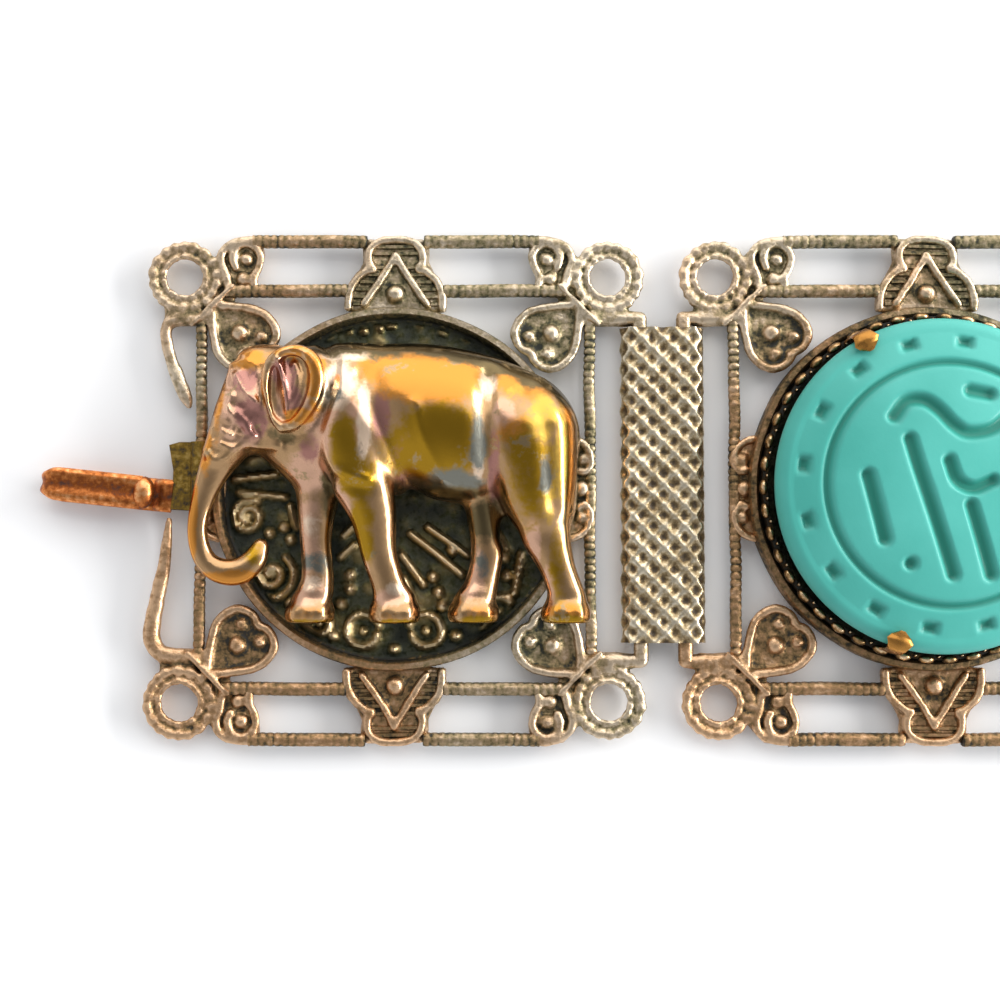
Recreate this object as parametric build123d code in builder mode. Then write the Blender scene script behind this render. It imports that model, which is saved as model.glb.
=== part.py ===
from build123d import *
from math import cos, radians, sin
import os

# A panel bracelet opened out and laid flat, face up: millimetres, +Z up, +X along the strip,
# hook at the -X end. Panel shapes are given from the centre of their own panel.

# Strip
panel_designs = ["elephant", "seal", "elephant", "seal", "elephant"]
bar_offset = 16.35           # panel centre to its hinge bar
bar_spacing = 2.95           # between the two bars that share a sleeve
seat_gap = 0.05              # between an ornament and what it is fastened on

# Hinge bars and the folded sleeves round them
bar_radius = 0.5
bar_clearance = 0.05
sleeve_wall = 0.35
sleeve_width = 5.7
sleeve_length = 21.0
sleeve_slip = 0.25           # how far the sleeves have slid along their bars
seam_gap = 0.3               # open joint of the fold, underneath

# Pierced plate
plate_thickness = 1.0
relief = 0.25                # height of raised rims and ridges on the plate
rim_width = 0.4              # width of those rims
wire_width = 0.8
outer_wire_y = 16.75
inner_wire_y = 13.3
side_bar_offset = 13.0
side_bar_radius = 0.4
slot_half_length = 11.0      # slot between a side bar and a hinge bar
lug_width = 0.9

# Corner rings
ring_offset = 14.2
ring_radius = 2.45
ring_hole_radius = 1.14
ring_groove_inner = 1.55
ring_groove_outer = 1.75

# Hearts, on the diagonals: lengths out from the panel centre, then sizes
heart_lobe_reach = 13.35
heart_tip_reach = 16.9
heart_lobe_spread = 1.0      # each lobe's distance from the diagonal
heart_lobe_radius = 1.35
heart_tip_radius = 0.45
heart_dot_spread = 0.7

# Scroll lobes beside the rings, and ridges between ring and heart
lobe_x = 10.2
lobe_y = 15.5
lobe_radius = 1.65
ridge_width = 0.9
ridge_half_length = 1.55

# Bell ornaments in the middle of the long edges
bell_top_width = 4.3
bell_base_width = 6.8
bell_shoulder_y = 14.9
bell_flare_y = 13.9
bell_ball_y = 13.1
bell_ball_radius = 0.6
hatch_width = 0.3
hatch_pitch = 0.7
hatch_count = 3

# Medallion dish
dish_radius = 12.1
dish_rim_width = 0.5
dish_floor = 0.7             # floor's upper face above the table
dish_rim_top = 1.7
web_half_length = 2.6        # joins the dish to a side bar
dot_radius = 0.38
curl_radius = 1.1            # scroll circles in the dish
curl_width = 0.4

# Elephant
elephant_length = 26.4
elephant_height = 18.6
elephant_centre_x = -0.5
elephant_sole_y = -8.9
elephant_relief = 4.2        # from its back face to the highest part of its flank
ear_relief = 0.45            # ear above the flank

# Seal stone and its bezel
stone_radius = 10.9
stone_wall_top = 3.9
stone_top = 6.4
stone_edge_radius = 1.0
stone_clearance = 0.15
cut_depth = 0.35
seal_ring_radius = 7.8
seal_ring_width = 0.6
dash_reach = 9.25
dash_count = 16
dash_length = 1.1
dash_width = 0.75
glyph_width = 0.95
bezel_wall = 0.3
bezel_height = 2.0
tooth_count = 46
tooth_gap = 0.6
tooth_depth = 0.7
tab_width = 1.2
tab_lip = 1.1                # how far a tab reaches in over the stone
tab_angles = [5, 119, 252]

# Clasp: a folded plate round the first side bar, and a strip doubled back into a hook
knuckle_wall = 0.25
clasp_low_y = -1.5
clasp_high_y = 3.1
clasp_reach = 15.1
tongue_reach = 23.6
tongue_width = 2.5
tongue_thickness = 0.6
tongue_gap = 1.15            # takes the far end's hinge bar
tongue_mouth_x = 16.4
tongue_tilt = 6.0            # degrees, in plan
tongue_root_y = -0.5
clasp_step = 0.5             # flat at each side of the step down from plate to tongue
tongue_bead_radius = 0.5     # rolled end of the strip, above the hook's mouth

# Worked-out sizes
panel_pitch = 2 * bar_offset + bar_spacing
bar_height = sleeve_wall + bar_clearance + bar_radius
plate_bottom = bar_height - plate_thickness / 2
plate_top = plate_bottom + plate_thickness
sleeve_thickness = 2 * bar_height
lug_y = slot_half_length + lug_width / 2
strip_shift = (tongue_reach - bar_offset - bar_radius) / 2
middle_panel = (len(panel_designs) - 1) / 2
elephant_base = dish_rim_top + seat_gap
stone_base = dish_floor + seat_gap
knuckle_radius = side_bar_radius + bar_clearance + knuckle_wall

# Elephant's barrel and head, along its length: place, underside and back as shares of its
# length and height, thickness as a share of its relief
barrel_sections = [
    # place, underside, back, thickness
    (-0.430, 0.70, 0.870, 0.45),
    (-0.400, 0.60, 0.945, 0.68),
    (-0.322, 0.57, 0.990, 0.88),
    (-0.227, 0.51, 0.985, 0.96),
    (-0.133, 0.45, 0.980, 0.92),
    (0.019, 0.41, 1.000, 1.00),
    (0.170, 0.41, 0.980, 1.00),
    (0.322, 0.35, 0.895, 0.90),
    (0.428, 0.34, 0.770, 0.64),
    (0.473, 0.40, 0.600, 0.32),
]
# Its legs, downwards: height as a share of its height, left and right edges as shares of its
# length, thickness as a share of its relief
leg_sections = {
    "near_hind": [
        (0.480, 0.290, 0.462, 0.88),
        (0.250, 0.362, 0.476, 0.72),
        (0.130, 0.409, 0.493, 0.56),
        (0.040, 0.402, 0.500, 0.60),
        (0.000, 0.398, 0.497, 0.62),
    ],
    "far_hind": [
        (0.480, 0.200, 0.330, 0.72),
        (0.317, 0.212, 0.303, 0.62),
        (0.156, 0.197, 0.284, 0.50),
        (0.000, 0.148, 0.280, 0.54),
    ],
    "near_front": [
        (0.600, -0.170, 0.045, 1.02),
        (0.317, -0.080, 0.021, 0.86),
        (0.183, -0.045, 0.044, 0.70),
        (0.086, -0.023, 0.064, 0.64),
        (0.000, -0.042, 0.081, 0.70),
    ],
    "far_front": [
        (0.530, -0.230, -0.125, 0.76),
        (0.317, -0.220, -0.129, 0.62),
        (0.156, -0.212, -0.133, 0.50),
        (0.070, -0.231, -0.131, 0.52),
        (0.000, -0.254, -0.129, 0.56),
    ],
}
# Its trunk, from the face to the tip: place and width as shares of its length, height as a share
# of its height, thickness as a share of its relief
trunk_sections = [
    # place, height, width, thickness
    (-0.390, 0.720, 0.129, 0.74),
    (-0.413, 0.597, 0.087, 0.64),
    (-0.447, 0.511, 0.068, 0.52),
    (-0.473, 0.409, 0.046, 0.42),
    (-0.481, 0.317, 0.038, 0.36),
    (-0.466, 0.247, 0.042, 0.34),
    (-0.436, 0.196, 0.047, 0.34),
    (-0.386, 0.169, 0.061, 0.38),
    (-0.339, 0.191, 0.061, 0.38),
    (-0.312, 0.242, 0.053, 0.34),
    (-0.303, 0.285, 0.030, 0.24),
]
ear_points = [(-0.299, 0.925), (-0.245, 0.950), (-0.173, 0.910), (-0.170, 0.790),
              (-0.208, 0.704), (-0.254, 0.672), (-0.290, 0.720), (-0.303, 0.830)]

# Dots and curls of the dish, as shares of its radius
dish_dots = [(-0.60, -0.23), (-0.66, -0.27), (-0.24, -0.49), (-0.25, -0.57), (-0.27, -0.64),
             (0.21, -0.49), (0.24, -0.57), (0.26, -0.64), (0.31, -0.34), (0.62, -0.60),
             (0.01, -0.88), (0.34, -0.81), (-0.34, -0.81), (-0.37, 0.86), (0.13, 0.92)]
dish_curls = [(-0.81, -0.16), (-0.17, -0.78), (0.17, -0.78), (-0.21, 0.89)]

# Strokes cut in the stone, as shares of the seal ring's radius
seal_strokes = [
    [(-0.46, 0.55), (-0.36, 0.67), (-0.22, 0.68), (-0.10, 0.60), (0.02, 0.47), (0.14, 0.41),
     (0.34, 0.45), (0.52, 0.60)],
    [(-0.34, 0.36), (-0.27, 0.10), (-0.13, -0.34), (0.00, -0.74)],
    [(-0.68, 0.07), (-0.55, -0.45)],
    [(0.14, -0.18), (0.31, -0.74)],
    [(-0.03, 0.18), (0.03, 0.02), (0.16, -0.04), (0.32, 0.02)],
    [(0.17, 0.76), (0.33, 0.73)],
    [(0.58, 0.14), (0.66, -0.42)],
]
seal_dots = [(-0.34, -0.65)]

# Bent ends of the first panel's broken bar, as shares of the bar's offset and the lugs' height
broken_bar_ends = {
    "upper": [(-0.970, 0.99), (-0.978, 0.91), (-0.970, 0.83), (-0.936, 0.70), (-0.893, 0.57),
              (-0.862, 0.46)],
    "lower": [(-0.985, -0.99), (-0.984, -0.80), (-0.960, -0.62), (-0.932, -0.40), (-0.920, -0.27)],
}


def panel_centre(index):
    return strip_shift + (index - middle_panel) * panel_pitch


def panel_plane(centre_x, height):
    return Plane(origin=(centre_x, 0, height))


def heart(inset):
    """A heart on the +X axis, its lobes towards the panel's centre."""
    with BuildSketch() as outline:
        with Locations((heart_lobe_reach, heart_lobe_spread), (heart_lobe_reach, -heart_lobe_spread)):
            Circle(heart_lobe_radius - inset)
        with Locations((heart_tip_reach, 0)):
            Circle(heart_tip_radius - inset / 2)
        make_hull()
    return outline.sketch


def ridge():
    """A bar across the +X axis, between a heart's tip and its ring."""
    with BuildSketch() as bar:
        with Locations((heart_tip_reach + heart_tip_radius, 0)):
            Rectangle(ridge_width, 2 * ridge_half_length)
    return bar.sketch


def bell(inset):
    half_top = bell_top_width / 2 - inset
    half_base = bell_base_width / 2 - inset
    top_y = outer_wire_y + wire_width / 2 - inset
    foot_y = dish_radius - dish_rim_width + inset
    with BuildSketch() as outline:
        with BuildLine():
            Polyline((0, top_y), (half_top, top_y), (half_top, bell_shoulder_y),
                     (half_base, bell_flare_y), (half_base, foot_y), (0, foot_y), close=True)
        make_face()
        mirror(about=Plane.YZ)
    return outline.sketch


def plate_outline(centre_x):
    """Everything of the pierced plate but the dish and the round bars."""
    with BuildSketch(panel_plane(centre_x, plate_bottom)) as outline:
        with Locations((ring_offset, ring_offset)):
            Circle(ring_radius)
        with Locations((lobe_x, lobe_y)):
            Circle(lobe_radius)
        with Locations((0, outer_wire_y)):
            Rectangle(lobe_x, wire_width, align=(Align.MIN, Align.CENTER))
        with Locations((0, inner_wire_y)):
            Rectangle(side_bar_offset - lug_width, wire_width, align=(Align.MIN, Align.CENTER))
        with Locations((side_bar_offset - side_bar_radius, lug_y)):
            lug_length = bar_offset + bar_radius - side_bar_offset + side_bar_radius
            Rectangle(lug_length, lug_width, align=(Align.MIN, Align.CENTER))
        add(heart(0), rotation=45)
        add(ridge(), rotation=45)
        add(bell(0))
        mirror(about=Plane.YZ)
        mirror(about=Plane.XZ)
    return outline.sketch


def plate_relief(centre_x):
    """Raised rims, ridges and hatching on the plate."""
    with BuildSketch(panel_plane(centre_x, plate_bottom)) as raised:
        with Locations((ring_offset, ring_offset)):
            Circle(ring_radius)
            Circle(ring_groove_outer, mode=Mode.SUBTRACT)
            Circle(ring_groove_inner)
        with Locations((lobe_x, lobe_y)):
            Circle(lobe_radius)
            Circle(lobe_radius - rim_width, mode=Mode.SUBTRACT)
        add(heart(0), rotation=45)
        add(heart(rim_width), rotation=45, mode=Mode.SUBTRACT)
        add(ridge(), rotation=45)
        add(bell(0))
        add(bell(rim_width), mode=Mode.SUBTRACT)
        with Locations((0, (bell_shoulder_y + outer_wire_y) / 2)):
            with GridLocations(0, hatch_pitch, 1, hatch_count):
                Rectangle(bell_top_width, hatch_width)
        with BuildLine():
            Line((0, bell_shoulder_y), (bell_base_width / 3, dish_radius))
        trace(line_width=rim_width)
        mirror(about=Plane.YZ)
        mirror(about=Plane.XZ)
    return raised.sketch


def ring_holes(centre_x):
    with BuildSketch(panel_plane(centre_x, 0)) as holes:
        with GridLocations(2 * ring_offset, 2 * ring_offset, 2, 2):
            Circle(ring_hole_radius)
    return holes.sketch


def dish_places(centre_x, shares):
    return [(centre_x + x * dish_radius, y * dish_radius, dish_floor) for x, y in shares]


def plate_dots(centre_x):
    """Centres of the round dots on the plate."""
    along = radians(45)
    quarter = [(lobe_x, lobe_y), (lobe_x - lobe_radius / 2, lobe_y - lobe_radius / 2)]
    heart_dots = [(heart_lobe_reach, heart_dot_spread), (heart_lobe_reach, -heart_dot_spread),
                  (heart_lobe_reach + heart_lobe_radius, 0)]
    for reach, across in heart_dots:
        quarter.append((reach * cos(along) - across * sin(along), reach * sin(along) + across * cos(along)))
    return [(centre_x + side_x * x, side_y * y, plate_top)
            for x, y in quarter for side_x in (1, -1) for side_y in (1, -1)]


def broken_end(centre_x, shares):
    with BuildSketch(panel_plane(centre_x, plate_bottom)) as stub:
        with BuildLine():
            Polyline(*[(x * bar_offset, y * lug_y) for x, y in shares])
        trace(line_width=wire_width)
    return stub.sketch


def panel_frame(name, centre_x, design, broken):
    """Pierced plate, medallion dish and hinge bars, in one soldered piece."""
    with BuildPart() as frame:
        extrude(plate_outline(centre_x), amount=plate_thickness)
        extrude(plate_relief(centre_x), amount=plate_thickness + relief)
        with Locations((centre_x, 0, 0)):
            Cylinder(dish_radius, dish_floor, align=(Align.CENTER, Align.CENTER, Align.MIN))
        with BuildSketch(panel_plane(centre_x, 0)):
            Circle(dish_radius)
            Circle(dish_radius - dish_rim_width, mode=Mode.SUBTRACT)
        extrude(amount=dish_rim_top)
        sides = [1] if broken else [1, -1]
        for side in sides:
            with Locations((centre_x + side * bar_offset, 0, bar_height)):
                Cylinder(bar_radius, 2 * lug_y, rotation=(90, 0, 0))
            with Locations((centre_x + side * (dish_radius + side_bar_offset) / 2, 0, bar_height)):
                Box(side_bar_offset - dish_radius + dish_rim_width, 2 * web_half_length, plate_thickness)
        with Locations((centre_x, 0, bar_height)):
            with GridLocations(2 * side_bar_offset, 0, 2, 1):
                Cylinder(side_bar_radius, 2 * lug_y, rotation=(90, 0, 0))
        if broken:
            for shares in broken_bar_ends.values():
                extrude(broken_end(centre_x, shares), amount=plate_thickness)
        dots = plate_dots(centre_x)
        if design == "elephant":
            dots += dish_places(centre_x, dish_dots)
            with Locations(*dish_places(centre_x, dish_curls)):
                Torus(curl_radius - curl_width / 2, curl_width / 2)
        with Locations(*dots):
            Sphere(dot_radius)
        with Locations((centre_x, bell_ball_y, plate_top), (centre_x, -bell_ball_y, plate_top)):
            Sphere(bell_ball_radius)
        extrude(ring_holes(centre_x), amount=dish_rim_top + relief, mode=Mode.SUBTRACT)
    frame.part.label = name
    return frame.part


def half_oval(plane, low, high, thickness):
    """A flat-backed oval from low to high along the plane's X, standing up its Y."""
    centre = (low + high) / 2
    with BuildSketch(plane) as section:
        with BuildLine():
            arc = EllipticalCenterArc((centre, 0), (high - low) / 2, thickness, start_angle=0, arc_size=180)
            Line(arc @ 1, arc @ 0)
        make_face()
    return section.sketch


def elephant(name, centre_x):
    middle_x = centre_x + elephant_centre_x
    with BuildPart() as animal:
        sections = []
        for place, underside, back, thickness in barrel_sections:
            across = Plane(origin=(middle_x + place * elephant_length, elephant_sole_y, elephant_base),
                           x_dir=(0, 1, 0), z_dir=(1, 0, 0))
            sections.append(half_oval(across, underside * elephant_height, back * elephant_height,
                                      thickness * elephant_relief))
        loft(sections)
        for leg in leg_sections.values():
            sections = []
            for height, left, right, thickness in leg:
                across = Plane(origin=(middle_x, elephant_sole_y + height * elephant_height, elephant_base),
                               x_dir=(1, 0, 0), z_dir=(0, -1, 0))
                sections.append(half_oval(across, left * elephant_length, right * elephant_length,
                                          thickness * elephant_relief))
            loft(sections)
        middles = [Vector(middle_x + place * elephant_length, elephant_sole_y + height * elephant_height,
                          elephant_base) for place, height, width, thickness in trunk_sections]
        sections = []
        for number, (place, height, width, thickness) in enumerate(trunk_sections):
            along = (middles[min(number + 1, len(middles) - 1)] - middles[max(number - 1, 0)]).normalized()
            across = Plane(origin=middles[number], x_dir=(-along.Y, along.X, 0), z_dir=along)
            half_width = width * elephant_length / 2
            sections.append(half_oval(across, -half_width, half_width, thickness * elephant_relief))
        loft(sections)
        with BuildSketch(Plane(origin=(middle_x, elephant_sole_y, elephant_base))):
            with BuildLine():
                Spline(*[(x * elephant_length, y * elephant_height) for x, y in ear_points], periodic=True)
            make_face()
        extrude(amount=elephant_relief + ear_relief)
    animal.part.label = name
    return animal.part


def stone_body(centre_x, sunk):
    """The stone turned about its own axis, its upper face lowered by sunk."""
    with BuildPart() as body:
        with BuildSketch(Plane(origin=(centre_x, 0, 0), x_dir=(1, 0, 0), z_dir=(0, -1, 0))):
            with BuildLine():
                shoulder = (stone_radius - stone_edge_radius, stone_wall_top + stone_edge_radius - sunk)
                Polyline(shoulder, (0, shoulder[1]), (0, stone_base), (stone_radius, stone_base),
                         (stone_radius, stone_wall_top - sunk))
                RadiusArc((stone_radius, stone_wall_top - sunk), shoulder, -stone_edge_radius)
            make_face()
        revolve(axis=Axis((centre_x, 0, 0), (0, 0, 1)))
        with BuildSketch(Plane(origin=(centre_x, 0, 0), x_dir=(1, 0, 0), z_dir=(0, -1, 0))):
            with BuildLine():
                crown = (0, stone_top - sunk)
                SagittaArc(shoulder, (-shoulder[0], shoulder[1]), -(crown[1] - shoulder[1]))
                Line((-shoulder[0], shoulder[1]), shoulder)
            make_face()
            with Locations((0, 0)):
                Rectangle(stone_radius, stone_top, align=(Align.MAX, Align.MIN), mode=Mode.SUBTRACT)
        revolve(axis=Axis((centre_x, 0, 0), (0, 0, 1)))
    return body.part


def seal_cuts(centre_x):
    """The prisms of the seal's ring, dashes and strokes, through the stone's upper part."""
    with BuildPart() as cuts:
        with BuildSketch(panel_plane(centre_x, stone_wall_top - cut_depth)):
            Circle(seal_ring_radius + seal_ring_width / 2)
            Circle(seal_ring_radius - seal_ring_width / 2, mode=Mode.SUBTRACT)
            with PolarLocations(dash_reach, dash_count):
                Rectangle(dash_width, dash_length)
            with Locations(*[(x * seal_ring_radius, y * seal_ring_radius) for x, y in seal_dots]):
                Circle(glyph_width / 2)
        extrude(amount=stone_top)
        for stroke in seal_strokes:
            points = [(x * seal_ring_radius, y * seal_ring_radius) for x, y in stroke]
            with BuildSketch(panel_plane(centre_x, stone_wall_top - cut_depth)):
                with BuildLine():
                    Polyline(*points)
                trace(line_width=glyph_width)
            extrude(amount=stone_top)
        add(stone_body(centre_x, cut_depth), mode=Mode.SUBTRACT)
    return cuts.part


def seal_stone(name, centre_x):
    with BuildPart() as stone:
        add(stone_body(centre_x, 0))
        add(seal_cuts(centre_x), mode=Mode.SUBTRACT)
    stone.part.label = name
    return stone.part


def bezel(name, centre_x):
    """A toothed wall round the stone, with tabs bent over its edge."""
    inner = stone_radius + stone_clearance
    outer = inner + bezel_wall
    lip_bottom = stone_wall_top + stone_edge_radius + stone_clearance
    with BuildPart() as setting:
        with BuildSketch(panel_plane(centre_x, stone_base)):
            Circle(outer)
            Circle(inner, mode=Mode.SUBTRACT)
        extrude(amount=bezel_height)
        with BuildSketch(panel_plane(centre_x, stone_base + bezel_height - tooth_depth)):
            with PolarLocations(inner + bezel_wall / 2, tooth_count):
                Rectangle(2 * bezel_wall, tooth_gap)
        extrude(amount=tooth_depth, mode=Mode.SUBTRACT)
        for angle in tab_angles:
            across = Plane(origin=(centre_x, 0, 0),
                           x_dir=(cos(radians(angle)), sin(radians(angle)), 0),
                           z_dir=(sin(radians(angle)), -cos(radians(angle)), 0))
            with BuildSketch(across):
                with BuildLine():
                    Polyline((inner, stone_base), (outer, stone_base), (outer, lip_bottom + bezel_wall),
                             (outer - tab_lip, lip_bottom + bezel_wall), (outer - tab_lip, lip_bottom),
                             (inner, lip_bottom), close=True)
                make_face()
            extrude(amount=tab_width / 2, both=True)
    setting.part.label = name
    return setting.part


def sleeve(name, centre_x):
    """A strip folded into a flat tube round two hinge bars."""
    with BuildPart() as tube:
        across = Plane(origin=(centre_x, sleeve_slip, bar_height), x_dir=(1, 0, 0), z_dir=(0, -1, 0))
        inner_thickness = sleeve_thickness - 2 * sleeve_wall
        with BuildSketch(across):
            SlotOverall(sleeve_width, sleeve_thickness)
            SlotOverall(sleeve_width - 2 * sleeve_wall, inner_thickness, mode=Mode.SUBTRACT)
            Rectangle(seam_gap, sleeve_thickness, align=(Align.CENTER, Align.MAX), mode=Mode.SUBTRACT)
        extrude(amount=sleeve_length / 2, both=True)
    tube.part.label = name
    return tube.part


def clasp_hook(name, centre_x):
    """The clasp plate folded round the side bar, and its doubled strip, soldered in one."""
    hinge_x = -side_bar_offset
    low_z = tongue_thickness / 2
    high_z = low_z + tongue_gap + tongue_thickness
    with BuildPart() as clasp:
        side = Plane(origin=(centre_x, clasp_high_y, 0), x_dir=(1, 0, 0), z_dir=(0, -1, 0))
        with BuildSketch(side):
            with Locations((hinge_x, bar_height)):
                Circle(knuckle_radius)
                Rectangle(clasp_reach + hinge_x, 2 * knuckle_wall, align=(Align.MAX, Align.CENTER))
                Circle(side_bar_radius + bar_clearance, mode=Mode.SUBTRACT)
        extrude(amount=clasp_high_y - clasp_low_y)
        along = Plane(origin=(centre_x - clasp_reach, tongue_root_y, 0),
                      x_dir=(cos(radians(tongue_tilt)), -sin(radians(tongue_tilt)), 0),
                      z_dir=(-sin(radians(tongue_tilt)), -cos(radians(tongue_tilt)), 0))
        fold = clasp_reach - tongue_reach + (high_z - low_z + tongue_thickness) / 2
        mouth = clasp_reach - tongue_mouth_x
        with BuildSketch(along):
            with BuildLine():
                Polyline((knuckle_wall, bar_height), (-clasp_step, bar_height), (-2 * clasp_step, low_z),
                         (fold, low_z))
                fold_end = (fold - (high_z - low_z) / 2, (low_z + high_z) / 2)
                ThreePointArc((fold, low_z), fold_end, (fold, high_z))
                Line((fold, high_z), (mouth, high_z))
            trace(line_width=tongue_thickness)
            with Locations((mouth, high_z - tongue_thickness / 2 + tongue_bead_radius)):
                Circle(tongue_bead_radius)
        extrude(amount=tongue_width / 2, both=True)
    clasp.part.label = name
    return clasp.part


os.makedirs("parts", exist_ok=True)
pieces = []
for index, design in enumerate(panel_designs):
    number = index + 1
    centre_x = panel_centre(index)
    pieces.append(panel_frame(f"panel_frame_{number}", centre_x, design, broken=index == 0))
    if design == "elephant":
        pieces.append(elephant(f"elephant_{number}", centre_x))
    else:
        pieces.append(bezel(f"bezel_{number}", centre_x))
        pieces.append(seal_stone(f"seal_stone_{number}", centre_x))
    if index > 0:
        pieces.append(sleeve(f"sleeve_{index}", centre_x - panel_pitch / 2))
pieces.append(clasp_hook("clasp_hook", panel_centre(0)))

for piece in pieces:
    export_step(piece, f"parts/{piece.label}.step")
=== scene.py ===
from math import ceil, cos, pi, radians, sin

import bpy
import numpy as np
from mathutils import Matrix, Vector


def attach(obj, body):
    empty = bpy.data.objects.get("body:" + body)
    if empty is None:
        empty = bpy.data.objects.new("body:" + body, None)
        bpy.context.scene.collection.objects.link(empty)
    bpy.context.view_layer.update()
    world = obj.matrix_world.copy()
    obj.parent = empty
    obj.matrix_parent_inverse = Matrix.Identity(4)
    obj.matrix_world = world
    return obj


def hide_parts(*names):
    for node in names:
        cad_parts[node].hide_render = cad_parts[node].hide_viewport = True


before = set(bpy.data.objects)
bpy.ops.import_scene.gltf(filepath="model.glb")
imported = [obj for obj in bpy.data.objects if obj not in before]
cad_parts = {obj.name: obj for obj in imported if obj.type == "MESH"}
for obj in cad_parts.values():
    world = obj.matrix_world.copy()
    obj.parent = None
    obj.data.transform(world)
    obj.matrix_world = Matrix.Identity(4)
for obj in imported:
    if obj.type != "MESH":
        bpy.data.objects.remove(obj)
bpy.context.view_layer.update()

# A panel bracelet laid open and flat, face up. Shapes are given in millimetres from the centre of
# their own panel, and each piece's mesh holds its place in the strip.
MM = 0.001
TINY = 1e-9                  # keeps lengths of nothing out of divisions

# The strip, as in the solids
PANEL_DESIGNS = ["elephant", "seal", "elephant", "seal", "elephant"]
BAR_OFFSET = 16.35
BAR_SPACING = 2.95
PANEL_PITCH = 2 * BAR_OFFSET + BAR_SPACING
STRIP_SHIFT = 3.375
BAR_RADIUS = 0.5
BAR_HEIGHT = 0.9
SIDE_BAR_OFFSET = 13.0
PANEL_REACH = BAR_OFFSET + BAR_RADIUS
CLEARANCE = 0.003            # left at a panel's ends, so that it stays within the solids' reach
LUG_Y = 11.45
PLATE_LOW = 0.4
CAST_WAVER = 0.016           # of the frames' surface
CAST_SEED = 11

# Ribbed wires
WIRE_RADIUS = 0.46
WIRE_HEIGHT = 0.92
RIB_PITCH = 0.5
RIB_DEPTH = 0.06
OUTER_WIRE_Y = 16.64
INNER_WIRE_Y = 13.3

# Corner rings
RING_OFFSET = 14.2
RING_HOLE = 1.14
# Wires of a corner ring: height, radius, wire's radius, softness, beads and depth between them
RING_WIRES = [(0.7, 1.75, 0.38, 0.12, 0, 0.0), (1.0, 2.12, 0.4, 0.04, 18, 0.15),
              (1.05, 1.39, 0.27, 0.05, 15, 0.09)]

# Medallion dish
DISH_RADIUS = 12.1
DISH_FLOOR = 0.7
DISH_RIM_TOP = 1.7

# Elephant
ELEPHANT_BASE = 1.75
GRID_STEP = 0.14
SOLE_Y = -8.98
SOLE_SOFT_Y = -8.95          # where the soles are first cut, before smoothing
SOLE_TOP_Y = -8.94           # below this the metal is painted dark, as shade on the soles
FLATTEN = 0.8                # height of the limbs' round sections, as a share of their width

# Seal stone and bezel
STONE_RADIUS = 10.9
STONE_BASE = 0.75
STONE_WALL_TOP = 3.9
STONE_EDGE = 1.0
STONE_TOP = 6.4
CUT_DEPTH = 0.4
CUT_SLOPE = 0.5              # width of a cut's sloping side
CUT_EASE = 0.12              # how far the slope starts outside the cut's edge
SEAL_RING_RADIUS = 7.8
SEAL_RING_WIDTH = 0.6
DASH_REACH = 9.25
DASH_COUNT = 16
DASH_TURN = 14.5             # degrees
DASH_LENGTH = 1.15
DASH_WIDTH = 0.85
DASH_CORNER = 0.15
GLYPH_WIDTH = 1.0
FACE_RINGS = 74              # of the mesh, from the middle of the face to its shoulder
FACE_SEGMENTS = 300
BEZEL_INNER = 11.05
BEZEL_WALL = 0.3
BEZEL_HEIGHT = 2.0
BEAD_COUNT = 46
TAB_ANGLES = [5, 119, 252]
TAB_LIP_TOP = 5.35

# Folded sleeves
SLEEVE_WIDTH = 5.7
SLEEVE_THICKNESS = 1.8
SLEEVE_LENGTH = 21.0
SLEEVE_WALL = 0.35
SLEEVE_SLIP = 0.25
SLEEVE_SEAM = 0.3
WAFFLE_PITCH = 1.4
WAFFLE_DEPTH = 0.165
SLEEVE_STEP = 0.16

# Clasp: the tongue's levels, ends and turn in degrees, and the plate round the side bar
TONGUE_LOW = 0.3
TONGUE_HIGH = 2.05
TONGUE_THICKNESS = 0.6
TONGUE_TIP = -23.6
TONGUE_ROOT = -15.1
TONGUE_TURN = -6.0
TONGUE_HALF_WIDTH = 1.1
CLASP_SIDES = 24
CLASP_SPAN = (-1.5, 3.1)
CLASP_RADII = (0.46, 0.7)
CLASP_OUTLINE = [(-15.1, -1.4), (-13.5, -1.5), (-13.5, 3.1), (-14.4, 3.1), (-15.1, 2.9), (-14.8, 1.2),
                 (-14.85, -0.2)]

# Materials: how far specks shift a metal's wear and painted shade, and how fine each noise is, in cells to a
# metre
SPECKLE = 0.33
STAIN_SCALE = 420
SPECK_SCALE = 2600
PATCH_SCALE = 75
GLOSS_SCALE = 1800
CLOUD_SCALE = 160
GRAIN_SCALE = 3200

# Meshes: the unevenness of a panel, and the share of its faces that each thinned piece keeps
WOBBLE = 0.035
PANEL_SHARE = 0.5
ELEPHANT_SHARE = 0.55
STONE_SHARE = 0.75

# Light and camera
HORIZON_GLOW = 0.85
OVERHEAD_GLOW = 0.33
LOOK_AT = (-60.935, -0.77, 0.9)
CAMERA_DISTANCE = 0.1        # metres
CAMERA_TILT = 3.3            # degrees
CAMERA_ANGLE = 36.9          # degrees
FLOOR_REACH = 6              # metres
FLOOR_DROP = 0.00002         # metres


def panel_centre(index):
    """How far along the strip a panel's middle lies."""
    return STRIP_SHIFT + (index - (len(PANEL_DESIGNS) - 1) / 2) * PANEL_PITCH


def panels_with(design):
    """Indexes of the panels of one design."""
    return [index for index, own in enumerate(PANEL_DESIGNS) if own == design]


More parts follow.
